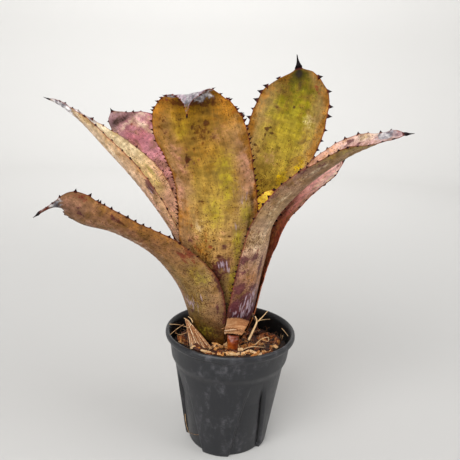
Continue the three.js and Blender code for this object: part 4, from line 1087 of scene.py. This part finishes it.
def body_radius(height):
    """Outer radius of the tapering body: it grows evenly from the base to the foot of the collar."""
    return POT_BASE_RADIUS + (POT_BODY_TOP_RADIUS - POT_BASE_RADIUS) * height / POT_BODY_HEIGHT


def pot_columns(height):
    """Angles of each ring's points, how far each is pressed in, and how deep it lies in a drain slot. The
    columns follow the creases: across a flute, which is a pressed-in panel of even depth that widens
    downwards and runs out at its top, over its steep edge, round the lobe and over the next edge. A
    slot runs up one edge of each flute."""
    share = np.clip(1 - height / FLUTE_TOP_HEIGHT, 0, 1)[:, None]
    half = FLUTE_TOP_HALF_ANGLE + (FLUTE_HALF_ANGLE - FLUTE_TOP_HALF_ANGLE) * share
    pressed = FLUTE_DEPTH * np.minimum(1, share / FLUTE_RUN_OUT)
    low, high = SLOT_ENDS
    slot = (smoothstep(low - 1, low + 1, height) * smoothstep(high + 8, high - 8, height))[:, None]
    sector = 360 / len(FLUTE_ANGLES)
    inner, lobe, edge = np.linspace(-0.94, 0.94, 11), np.linspace(0, 1, 21), np.array([0.3, 0.8])
    start = half + FLUTE_EDGE_ANGLE
    none = 0 * half
    angles, depths, cuts = [], [], []
    for middle, slotted in zip(FLUTE_ANGLES, SLOT_SIDES):
        left, right = (slot if slotted == way else none for way in (-1, 1))
        angles.append(middle + np.hstack([
            -half - FLUTE_EDGE_ANGLE * edge[::-1], -half, half * inner,
            half, half + FLUTE_EDGE_ANGLE * edge, start + (sector - 2 * start) * lobe]))
        depths.append(np.hstack([pressed * (1 - edge[::-1]), pressed, pressed + none * inner, pressed,
                                 pressed * (1 - edge), none * lobe]))
        cuts.append(np.hstack([left + none * edge, left, none * inner, right, right + none * edge,
                               none * lobe]))
    return np.hstack(angles), np.hstack(depths), np.hstack(cuts)


def rounded(profile, step, radius):
    """A profile resampled at an even step, its corners eased by a running mean as wide as the radius."""
    profile = np.array(profile, float)
    lengths = np.concatenate([[0], np.cumsum(np.linalg.norm(np.diff(profile, axis=0), axis=1))])
    places = np.linspace(0, lengths[-1], int(lengths[-1] / step) + 1)
    even = np.stack([np.interp(places, lengths, profile[:, k]) for k in (0, 1)], -1)
    wide = max(1, int(radius / step)) * 2 + 1
    padded = np.pad(even, ((wide // 2, wide // 2), (0, 0)), mode="reflect", reflect_type="odd")
    kernel = np.ones(wide) / wide
    return np.stack([np.convolve(padded[:, k], kernel, "valid") for k in (0, 1)], -1)


def pot_mesh():
    """Rings of points round the pot, up its outer wall, over the lip and down its inner wall. Each ring's
    radius is the profile's, less the depth of flutes and slots, and both ends close on the axis."""
    body = range(10, 71, 10)
    outer = [(0.0, 33.0), (0.8, POT_BASE_RADIUS + 0.1)] + [(z, body_radius(z)) for z in body] + COLLAR
    inner = [(z, body_radius(z) - POT_WALL) for z in body[-2::-1]] + [(2.6, 32.6), (POT_FLOOR, 32.0)]
    lip, collar = COLLAR_INSIDE[:4], COLLAR_INSIDE[3:]
    profile = np.vstack([rounded(outer + lip, 0.9, 0.9), rounded(collar + inner, 3.0, 0.5)[1:]])
    angle, depth, cut = pot_columns(profile[:, 0])
    wall = profile[:, 1][:, None] - depth - SLOT_DEPTH * cut
    turn = np.radians(angle)
    rings = np.stack([wall * np.sin(turn), -wall * np.cos(turn), profile[:, 0][:, None] + 0 * angle], -1)
    count, around = rings.shape[:2]
    points = np.vstack([rings.reshape(-1, 3), [[0, 0, profile[0, 0]], [0, 0, profile[-1, 0]]]])
    # The inside value covers the inner wall and the slots, which the material paints near black as painted
    # shade.
    crest = np.argmax(profile[:, 0])
    inside = smoothstep(crest, crest + 6, np.arange(count))[:, None]
    dark = np.maximum(inside + 0 * cut, cut)
    return points, skin_faces(count, around), {"inside": np.concatenate([dark.ravel(), [0.0, 1.0]])}


def cut_drain_holes(pot):
    """Takes a ring of round holes out of the pot's floor."""
    turn = np.radians(np.arange(0, 360, 15))
    points = []
    for middle in np.radians(np.arange(HOLE_COUNT) * 360 / HOLE_COUNT):
        x, y = HOLE_DISTANCE * np.cos(middle), HOLE_DISTANCE * np.sin(middle)
        ring = x + HOLE_RADIUS * np.cos(turn), y + HOLE_RADIUS * np.sin(turn)
        points += [np.column_stack([*ring, np.full(len(turn), z)]) for z in HOLE_SPAN]
        points += [[(x, y, z) for z in HOLE_SPAN]]
    cylinders = np.vstack(points), skin_faces(2, len(turn), HOLE_COUNT), {}
    cutter = add_mesh("drain_hole_cutter", cylinders, pot.data.materials[0])
    cut = pot.modifiers.new("drain holes", "BOOLEAN")
    cut.operation = "DIFFERENCE"
    cut.object = cutter
    cut.solver = "EXACT"
    view = bpy.context.evaluated_depsgraph_get()
    drilled = bpy.data.meshes.new_from_object(pot.evaluated_get(view))
    pot.modifiers.clear()
    pot.data = drilled
    bpy.data.objects.remove(cutter)


# Potting medium

def medium_height(x, y):
    """The surface rises evenly towards the front and has a slow ripple, a sine times a cosine."""
    return MEDIUM_LEVEL - MEDIUM_SLOPE * y + 0.8 * np.sin(0.31 * x + 1.3) * np.cos(0.27 * y - 0.4)


def bed_mesh():
    """The filling under the chips: rings from the wall to the plant, roughened by two products of sines and
    dropping into a funnel round the plant, with a skirt down inside the wall, closed below."""
    angle = np.radians(np.arange(0, 360, 3.0))
    circle = np.stack([np.cos(angle), np.sin(angle)], -1)
    rim, centre = BED_RADIUS * circle, PLANT_AXIS + BED_PLANT_RADIUS * circle
    x, y = np.moveaxis(centre + (rim - centre) * np.linspace(1, 0, 26)[:, None, None], -1, 0)
    plant = np.hypot(x - PLANT_AXIS[0], y - PLANT_AXIS[1])
    crumbs = 0.6 * np.sin(x * 1.9 + y * 0.7) * np.sin(y * 2.3 - x * 0.6)
    crumbs = crumbs + 0.4 * np.sin(x * 4.1) * np.sin(y * 3.7)
    z = medium_height(x, y) + crumbs - FUNNEL_DEPTH * smoothstep(*FUNNEL_SPAN, plant)
    skirt = [np.column_stack([rim * shrink, np.full(len(rim), level)]) for level, shrink in BED_SKIRT]
    rings = np.concatenate([np.array(skirt), np.stack([x, y, z], -1)])
    points = np.vstack([rings.reshape(-1, 3), [[0, 0, BED_UNDERSIDE], [*PLANT_AXIS, z[-1].mean()]]])
    return points, skin_faces(*rings.shape[:2]), {}


def spread_over_medium(random, count, clear_plant, clear_wall):
    """Places at random on the medium's surface that are clear of the plant and the wall."""
    x, y = random.uniform(-SPREAD_REACH, SPREAD_REACH, (2, count * 4))
    keep = (np.hypot(x, y) < WALL_RADIUS - clear_wall) & (np.hypot(x - PLANT_AXIS[0], y) > clear_plant)
    x, y = x[keep][:count], y[keep][:count]
    return np.stack([x, y, medium_height(x, y)], -1)


def turned(yaw, tilt, lean):
    """Rotation matrices that lean about X, tilt about Y, then turn about Z."""
    turns = []
    for angle, first, second in ((yaw, 0, 1), (tilt, 2, 0), (lean, 1, 2)):
        turn = np.tile(np.eye(3), (len(angle), 1, 1))
        turn[:, first, first] = turn[:, second, second] = np.cos(angle)
        turn[:, second, first] = np.sin(angle)
        turn[:, first, second] = -np.sin(angle)
        turns.append(turn)
    return turns[0] @ turns[1] @ turns[2]


def chip_meshes(random, places, sizes, turns, tones):
    """Broken husk chips: three rings of points, each ring a rounded rectangle with jittered corners, the
    middle ring the widest, and a point above and below."""
    count, sides = len(places), CHIP_SIDES
    angle = np.arange(sides) * 2 * np.pi / sides
    square = [np.sign(wave) * np.abs(wave) ** CHIP_SQUARENESS for wave in (np.cos(angle), np.sin(angle))]
    jitter = 1 + random.normal(0, 0.13, (count, 1, sides, 1))
    rings = np.stack(square, -1) * jitter * np.array([0.9, 1.0, 0.88])[:, None, None]
    level = np.array([-0.5, 0.1, 0.5])[:, None, None] + random.normal(0, 0.08, (count, 3, sides, 1))
    poles = np.zeros((count, 2, 3))
    poles[:, :, 2] = -0.45, 0.45
    shape = np.concatenate([np.concatenate([rings, level], -1).reshape(count, -1, 3), poles], 1)
    shape = shape * sizes[:, None] * np.array([0.5, 0.5, 1.0])
    points = places[:, None] + np.einsum("nij,nkj->nki", turns, shape)
    grain = shape * MM + random.uniform(-1, 1, (count, 1, 3))
    attributes = {"tone": np.repeat(tones, shape.shape[1]), "grain": grain.reshape(-1, 3)}
    return points.reshape(-1, 3), skin_faces(3, sides, count), attributes


def small_chips(random, count):
    """Small chips strewn over the medium: along the wall near it and any way round elsewhere, two in five
    of them light, and all darker towards the back as painted shade."""
    places = spread_over_medium(random, count, *CHIP_CLEARANCE)
    count = len(places)
    sizes = np.stack([random.uniform(*limits, count) for limits in CHIP_SIZES], -1)
    places[:, 2] += random.uniform(-0.8, 2.0, count)
    round_wall = np.arctan2(places[:, 1], places[:, 0]) + np.pi / 2 + random.normal(0, 0.2, count)
    near_wall = np.hypot(places[:, 0], places[:, 1]) > CHIP_WALL_RADIUS
    yaw = np.where(near_wall, round_wall, random.uniform(0, 6.28, count))
    turns = turned(yaw, random.normal(0, 0.35, count), random.normal(0, 0.6, count))
    light = random.uniform(0, 1, count) < LIGHT_CHIPS
    tones = np.where(light, random.uniform(0.6, 1.0, count), random.uniform(0, 0.5, count))
    # Painted shade: chips further back are darker.
    tones = tones * np.interp(places[:, 1], [-30, 20], [1.0, 0.45])
    return chip_meshes(random, places, sizes, turns, tones)


def loose_fibres(random, count):
    """Coir fibres: each springs from the surface, bends over in a quadratic curve and lies back. Their tops
    and ends are moved clear of the wall and the plant."""
    start = spread_over_medium(random, count, *FIBRE_CLEARANCE)
    count = len(start)
    heading = random.uniform(0, 2 * np.pi, count)
    reach = random.uniform(*FIBRE_REACH, count)
    rise = random.uniform(*FIBRE_RISE, count) * np.where(random.uniform(0, 1, count) > 0.6, 1.6, 0.6)
    flat = np.stack([np.cos(heading), np.sin(heading), 0 * heading], -1)
    up = np.array([0, 0, 1.0])
    top = start + flat * (reach * 0.5)[:, None] + up * rise[:, None]
    end = start + flat * reach[:, None] + up * (rise * random.uniform(-0.1, 0.9, count))[:, None]
    for spot in (top, end):
        far = np.hypot(spot[:, 0], spot[:, 1])
        spot[:, :2] *= np.minimum(1, FIBRE_LIMIT / far)[:, None]
        away = spot[:, :2] - PLANT_AXIS
        near = np.linalg.norm(away, axis=1)
        spot[:, :2] = PLANT_AXIS + away * np.maximum(1, FIBRE_CLEARANCE[0] / near)[:, None]
    end[:, 2] = np.maximum(end[:, 2], medium_height(end[:, 0], end[:, 1]))
    start[:, 2] -= 1.0
    f = np.linspace(0, 1, FIBRE_STEPS)[:, None]
    paths = (1 - f) ** 2 * start[:, None] + 2 * f * (1 - f) * top[:, None] + f ** 2 * end[:, None]
    thick = random.uniform(*FIBRE_RADII, count)[:, None] * np.linspace(1, 0.5, FIBRE_STEPS)
    points, faces = tubes(paths, thick, 4)
    tones = np.repeat(random.uniform(0, 0.8, count), len(points) // count)
    return points, faces, {"tone": tones, "grain": points * MM}


def loose_straws():
    """The straws as tubes through their points, each tapering evenly from one radius to the other."""
    paths = np.array([through(points, STRAW_STEPS) for points, _, _ in STRAWS])
    radii = np.array([np.linspace(*ends, STRAW_STEPS) for _, ends, _ in STRAWS])
    points, faces = tubes(paths, radii, 6, 0.7)
    tones = np.repeat([tone for _, _, tone in STRAWS], len(points) // len(STRAWS))
    return points, faces, {"tone": tones, "grain": points * MM}


def chip_normal(corners):
    """Direction square to a chip's outer face, away from the camera's side."""
    normal = unit(np.cross(corners[1] - corners[0], corners[3] - corners[0]))
    return normal if normal[1] > 0 else -normal


def husk_strands(chip, random):
    """Loose strands on a chip's outer face: each runs between two opposite edges, starts and stops at
    random a little past them, wavers by a sine and lies half a millimetre proud."""
    count, steps = chip["strands"], STRAND_STEPS
    corners = np.array(chip["corners"], float)
    a, b, c, d = corners[[0, 3, 2, 1]] if chip["level"] else corners
    place = random.uniform(0.03, 0.97, (count, 1, 1))
    start, end = a + (b - a) * place, d + (c - d) * (place + random.normal(0, 0.06, (count, 1, 1)))
    f = np.linspace(0, 1, steps)[:, None]
    f = f * random.uniform(0.9, 1.15, (count, 1, 1)) - random.uniform(0, 0.25, (count, 1, 1))
    waver = np.sin(4 * f + random.uniform(0, 6, (count, 1, 1))) * 0.35
    proud = random.uniform(0.1, 0.6, (count, 1, 1)) + chip["curl"] * ((2 * f - 1) ** 2 - 0.4) + waver
    paths = start + (end - start) * f - chip_normal(corners) * proud + unit(b - a) * waver
    radii = random.uniform(0.15, 0.65, (count, 1)) * (0.35 + 0.65 * np.sin(np.linspace(0.2, 2.9, steps)))
    points, faces = tubes(paths, radii, 5, 0.8)
    tones = np.repeat(random.uniform(0.3, 0.95, count), len(points) // count)
    return points, faces, {"tone": tones, "grain": points * MM}


def slab_mesh(chip, random):
    """A chip over four corners: each face is the corners' even blend, with fibre ridges running down it and
    ends frayed by a jagged stretch. The two faces are joined round the edge."""
    corners = np.array(chip["corners"], float)
    across, down = SLAB_GRID
    even = np.linspace(0, 1, across)
    v = np.linspace(0, 1, down)[:, None, None]
    v = v + random.normal(0, 0.035 * chip["fray"], across)[:, None] * (2 * v - 1)
    edge = random.normal(0, 0.012, down).cumsum()
    u = even[:, None] + (edge - edge.mean())[:, None, None] * 0.4
    top = corners[0] + (corners[1] - corners[0]) * u
    foot = corners[3] + (corners[2] - corners[3]) * u
    normal = chip_normal(corners)
    beside, below = (2 * u - 1) ** 2, (2 * v - 1) ** 2
    hump = chip["curl"] * (beside - 0.4) + chip["bulge"] * (1 - beside) * (1 - below)
    sheet = top + (foot - top) * v - normal * hump
    ridge = np.pad(random.normal(0, 1, across), 1, mode="edge")
    ridge = np.convolve(ridge, [0.25, 0.5, 0.25], "valid") * 0.28 * chip["fray"]
    drift = np.sin(np.linspace(0, 9, down) + random.uniform(0, 6))[:, None] * 0.12
    thin = 0.45 * np.abs(2 * even - 1)[:, None] ** 4
    front = sheet + normal * ((ridge + drift)[..., None] + 0.25 + thin)
    back = sheet + normal * chip["thickness"] * (1 - thin)
    grid = np.arange(across * down).reshape(down, across)
    quads = np.stack([grid[:-1, :-1], grid[:-1, 1:], grid[1:, 1:], grid[1:, :-1]], -1).reshape(-1, 4)
    rim = np.concatenate([grid[0, :-1], grid[:-1, -1], grid[-1, :0:-1], grid[:0:-1, 0]])
    after = np.roll(rim, -1)
    joint = np.stack([rim, rim + grid.size, after + grid.size, after], -1)
    points = np.vstack([front.reshape(-1, 3), back.reshape(-1, 3)])
    over, under = ((part + 0 * u * v)[..., 0].ravel() * 16 for part in (u, v))
    flat = np.stack([under, over, 0 * over] if chip["level"] else [over, under, 0 * over], -1) * MM
    # Painted light and shade: the tone changes evenly across and down each chip, one side lit and the other
    # shaded.
    tone = chip["tone"] + 0.012 * (under - 7) - 0.015 * (over - 8)
    attributes = {"tone": np.tile(tone, 2), "grain": np.vstack([flat, flat + 0.05])}
    return facing_out((points, [quads[:, ::-1], quads + grid.size, joint[:, ::-1]], attributes))


# Settings

def colour_setting(name, description, hex_colour):
    """A colour property whose default is an sRGB hex colour."""
    return bpy.props.FloatVectorProperty(
        name=name, description=description, default=linear(hex_colour)[:3], subtype="COLOR")


class LeafSettings(bpy.types.PropertyGroup):
    """Sizes and colours of the leaves."""

    thickness: bpy.props.FloatProperty(
        name="Thickness", description="Thickness of a blade at its midrib", default=1.0 * MM,
        unit="LENGTH", precision=4)
    spine_scale: bpy.props.FloatProperty(
        name="Spine scale", description="Length of the marginal spines against the real ones", default=1.0)
    # Some tints also paint light where the leaves list them: pale paints highlights, and spot, dark and red
    # paint shade and shadow.
    green: colour_setting("Green tint", "Yellow-green of the living skin", "#968a2c")
    yellow: colour_setting("Yellow tint", "Yellow of young margins", "#d2ae18")
    orange: colour_setting("Orange tint", "Orange of sunned skin", "#ac7434")
    pink: colour_setting("Pink tint", "Tan pink of sunned skin", "#bd8874")
    pale: colour_setting("Pale tint", "Cream of bleached skin", "#d2c2a0")
    blotch: colour_setting("Blotches", "Brown olive of the soft blotches", "#70501f")
    spot: colour_setting("Spots", "Dark brown of the freckles, scars and spots", "#43200f")
    bruise: colour_setting("Bruises", "Purple of the bruised skin", "#4a2029")
    red: colour_setting("Red marks", "Red of the scratches", "#6e2620")
    dark: colour_setting("Withered skin", "Near black of withered skin", "#241a0a")
    sheen: colour_setting("Pale scale", "Pale dusty scale on old sheaths", "#a8949e")
    rim_band: colour_setting("Rim", "Orange band inside the margin", "#a86c30")
    rim_line: colour_setting("Rim line", "Dark line on the margin", "#6a3222")


class PotSettings(bpy.types.PropertyGroup):
    """Colours of the pot."""

    plastic: colour_setting("Plastic", "Colour of the moulded plastic", "#1c1d21")
    dust: colour_setting("Dust", "Colour of the dust on it", "#6d6b70")


class MediumSettings(bpy.types.PropertyGroup):
    """Amounts of loose stuff in the potting medium."""

    chips: bpy.props.IntProperty(name="Chips", description="Number of small husk chips", default=460)
    fibres: bpy.props.IntProperty(name="Fibres", description="Number of loose coir fibres", default=170)


class StageSettings(bpy.types.PropertyGroup):
    """The stage and its light."""

    floor: colour_setting("Backdrop", "Colour of the floor and backdrop", "#cac9c7")
    key_power: bpy.props.FloatProperty(
        name="Key light", description="Power of the large front light", default=22.0, unit="POWER")
    fill_power: bpy.props.FloatProperty(
        name="Fill light", description="Power of the light from the right", default=7.5, unit="POWER")
    wall_power: bpy.props.FloatProperty(
        name="Wall light", description="Power of the light on the wall behind", default=22.5, unit="POWER")
    sky: bpy.props.FloatProperty(
        name="Sky", description="Strength of the light from all round", default=0.5)


# Operators

def settle(piece, slot, *nodes):
    """Lets a piece ride on the body and stand for its CAD nodes. Its slot is not used."""
    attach(piece, ROOT)
    if nodes:
        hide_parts(*nodes)


class BROMELIAD_OT_leaves(bpy.types.Operator):
    """Make every leaf with its spines"""

    bl_idname = "bromeliad.leaves"
    bl_label = "Leaves"

    def execute(self, context):
        settings = context.scene.bromeliad_leaves
        for leaf in LEAVES:
            mesh = leaf_mesh(leaf, settings.thickness / MM, settings.spine_scale)
            piece = add_mesh(leaf["piece"], mesh, leaf_material(leaf, settings))
            settle(piece, leaf["slot"], leaf["node"])
        return {"FINISHED"}


class BROMELIAD_OT_pot(bpy.types.Operator):
    """Make the nursery pot"""

    bl_idname = "bromeliad.pot"
    bl_label = "Pot"

    def execute(self, context):
        pot = add_mesh("nursery_pot", facing_out(pot_mesh()), pot_material(context.scene.bromeliad_pot))
        cut_drain_holes(pot)
        settle(pot, "pot_plastic", "pot")
        return {"FINISHED"}


class BROMELIAD_OT_medium(bpy.types.Operator):
    """Fill the pot with husk chips and fibres"""

    bl_idname = "bromeliad.medium"
    bl_label = "Potting medium"

    def execute(self, context):
        settings = context.scene.bromeliad_medium
        random = np.random.default_rng(MEDIUM_SEED)
        bed = add_mesh("medium_bed", facing_out(bed_mesh()), bed_material())
        settle(bed, "potting_medium", "potting_medium")

        stops = [(0.0, "#180b05"), (0.25, "#4d220c"), (0.5, "#96501c"), (0.72, "#c48642"), (1.0, "#e6c394")]
        husk = husk_material("broken coconut husk", stops, (900, 150, 900))
        chips = facing_out(small_chips(random, settings.chips))
        settle(add_mesh("small_husk_chips", chips, husk, smooth=False), "potting_medium")

        stops = [(0.0, "#2c170a"), (0.5, "#7c4e24"), (1.0, "#dcb888")]
        coir = husk_material("coir fibre", stops, (300, 300, 300))
        fibres = facing_out(loose_fibres(random, settings.fibres))
        settle(add_mesh("coir_fibres", fibres, coir), "potting_medium")
        straws = facing_out(loose_straws())
        settle(add_mesh("straws_and_threads", straws, coir), "potting_medium")
        return {"FINISHED"}


class BROMELIAD_OT_husk_chips(bpy.types.Operator):
    """Lay the three large husk chips against the plant"""

    bl_idname = "bromeliad.husk_chips"
    bl_label = "Large husk chips"

    def execute(self, context):
        random = np.random.default_rng(HUSK_SEED)
        stops = [(0.0, "#2a1408"), (0.25, "#673416"), (0.5, "#a0683a"), (0.75, "#c8976a"), (1.0, "#e8cdac")]
        husk = husk_material("split coconut husk", stops, (1400, 120, 900))
        stops = [(0.0, "#2c0e04"), (0.4, "#7a300e"), (0.7, "#b8601f"), (1.0, "#dc9448")]
        lump = husk_material("resin-soaked husk", stops, (500, 120, 500), 0.3)
        for chip in HUSK_CHIPS:
            mesh = slab_mesh(chip, random)
            if chip["strands"]:
                mesh = join(mesh, husk_strands(chip, random))
            settle(add_mesh(chip["piece"], mesh, lump if chip["bulge"] else husk), "husk", chip["node"])
        return {"FINISHED"}


class BROMELIAD_OT_stem(bpy.types.Operator):
    """Give the stem its bark"""

    bl_idname = "bromeliad.stem"
    bl_label = "Stem"

    def execute(self, context):
        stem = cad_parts["stem"]
        stem.data.materials.clear()
        stem.data.materials.append(stem_material())
        return {"FINISHED"}


class BROMELIAD_OT_stage(bpy.types.Operator):
    """Set up the pale stage, the soft lights and the camera"""

    bl_idname = "bromeliad.stage"
    bl_label = "Stage, lights and camera"

    def execute(self, context):
        settings = context.scene.bromeliad_stage
        add_backdrop(settings.floor)
        plant = (0, 0, 0.16)
        add_area_light("key light", (-0.55, -1.05, 0.9), 1.2, settings.key_power, plant)
        add_area_light("fill light", (1.2, -0.4, 0.9), 1.0, settings.fill_power, plant)
        add_area_light("wall light", (-0.15, 0.9, 1.5), 0.8, settings.wall_power, (-0.1, 2.0, 0.8))
        context.scene.view_settings.view_transform = "Standard"
        world = bpy.data.worlds.new("even sky")
        world.use_nodes = True
        background = world.node_tree.nodes["Background"]
        background.inputs["Color"].default_value = (1, 1, 1, 1)
        background.inputs["Strength"].default_value = settings.sky
        context.scene.world = world
        add_camera(context)
        return {"FINISHED"}


def add_backdrop(colour):
    """A round floor that curves up into a wall all round: a profile of a flat run, a quarter circle and a
    straight wall, carried about the vertical axis."""
    curve = np.linspace(0, np.pi / 2, 16)[1:]
    flat = np.linspace(60, BACKDROP_FLAT, 12)
    wall = np.full(2, BACKDROP_FLAT + BACKDROP_CURVE)
    radius = np.concatenate([flat, BACKDROP_FLAT + BACKDROP_CURVE * np.sin(curve), wall])[:, None]
    height = np.concatenate([0 * flat, BACKDROP_CURVE * (1 - np.cos(curve)), BACKDROP_WALL])[:, None]
    turn = np.radians(np.arange(0, 360, 3.0))
    rings = np.stack([radius * np.sin(turn), -radius * np.cos(turn), height + 0 * turn], -1)
    quads, fans = skin_faces(*rings.shape[:2])
    mesh = np.vstack([rings.reshape(-1, 3), [[0, 0, 0]]]), [quads, fans[:len(turn)]], {}
    material, node = new_material("matt backdrop paper")
    close_material(node, {"Base Color": (*colour, 1), "Roughness": 0.9, "Specular IOR Level": 0.1})
    add_mesh("backdrop", mesh, material)


def add_area_light(name, place, size, power, target):
    """A square soft light that looks at its target."""
    lamp = bpy.data.lights.new(name, "AREA")
    lamp.shape = "SQUARE"
    lamp.size = size
    lamp.energy = power
    light = bpy.data.objects.new(name, lamp)
    light.location = place
    light.rotation_euler = (Vector(target) - Vector(place)).to_track_quat("-Z", "Y").to_euler()
    bpy.context.scene.collection.objects.link(light)


def add_camera(context):
    """The camera stands on a line that rises from its target towards the front, leaning a little."""
    rise, lean = math.radians(CAMERA_ELEVATION), math.radians(CAMERA_LEAN)
    back = Vector((0, -math.cos(rise), math.sin(rise)))
    right = Vector((1, 0, 0))
    up = right.cross(-back)
    side = math.cos(lean) * right + math.sin(lean) * up
    top = -math.sin(lean) * right + math.cos(lean) * up
    lens = bpy.data.cameras.new("photo camera")
    lens.lens = CAMERA_LENS
    lens.sensor_width = 36
    lens.sensor_fit = "HORIZONTAL"
    lens.clip_start = 0.01
    camera = bpy.data.objects.new("photo camera", lens)
    camera.matrix_world = Matrix((side, top, back)).transposed().to_4x4()
    camera.location = (Vector(CAMERA_TARGET) + back * CAMERA_DISTANCE) * MM
    context.scene.collection.objects.link(camera)
    context.scene.camera = camera


class BROMELIAD_PT_panel(bpy.types.Panel):
    """Lists the steps that make the potted plant"""

    bl_idname = "BROMELIAD_PT_panel"
    bl_label = "Bromeliad"
    bl_space_type = "VIEW_3D"
    bl_region_type = "UI"
    bl_category = "Bromeliad"

    def draw(self, context):
        for name, kind in GROUPS.items():
            box = self.layout.box()
            for key in kind.__annotations__:
                box.prop(getattr(context.scene, name), key)
        for step in STEPS:
            self.layout.operator(step.bl_idname)


STEPS = (BROMELIAD_OT_leaves, BROMELIAD_OT_pot, BROMELIAD_OT_medium, BROMELIAD_OT_husk_chips,
         BROMELIAD_OT_stem, BROMELIAD_OT_stage)
GROUPS = {
    "bromeliad_leaves": LeafSettings, "bromeliad_pot": PotSettings,
    "bromeliad_medium": MediumSettings, "bromeliad_stage": StageSettings,
}


def register():
    for kind in (*GROUPS.values(), *STEPS, BROMELIAD_PT_panel):
        bpy.utils.register_class(kind)
    for name, kind in GROUPS.items():
        setattr(bpy.types.Scene, name, bpy.props.PointerProperty(type=kind))


def unregister():
    for name in GROUPS:
        delattr(bpy.types.Scene, name)
    for kind in reversed((*GROUPS.values(), *STEPS, BROMELIAD_PT_panel)):
        bpy.utils.unregister_class(kind)


def main():
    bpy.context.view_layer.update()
    register()
    bpy.ops.bromeliad.leaves()
    bpy.ops.bromeliad.pot()
    bpy.ops.bromeliad.medium()
    bpy.ops.bromeliad.husk_chips()
    bpy.ops.bromeliad.stem()
    bpy.ops.bromeliad.stage()


if __name__ == "__main__":
    main()
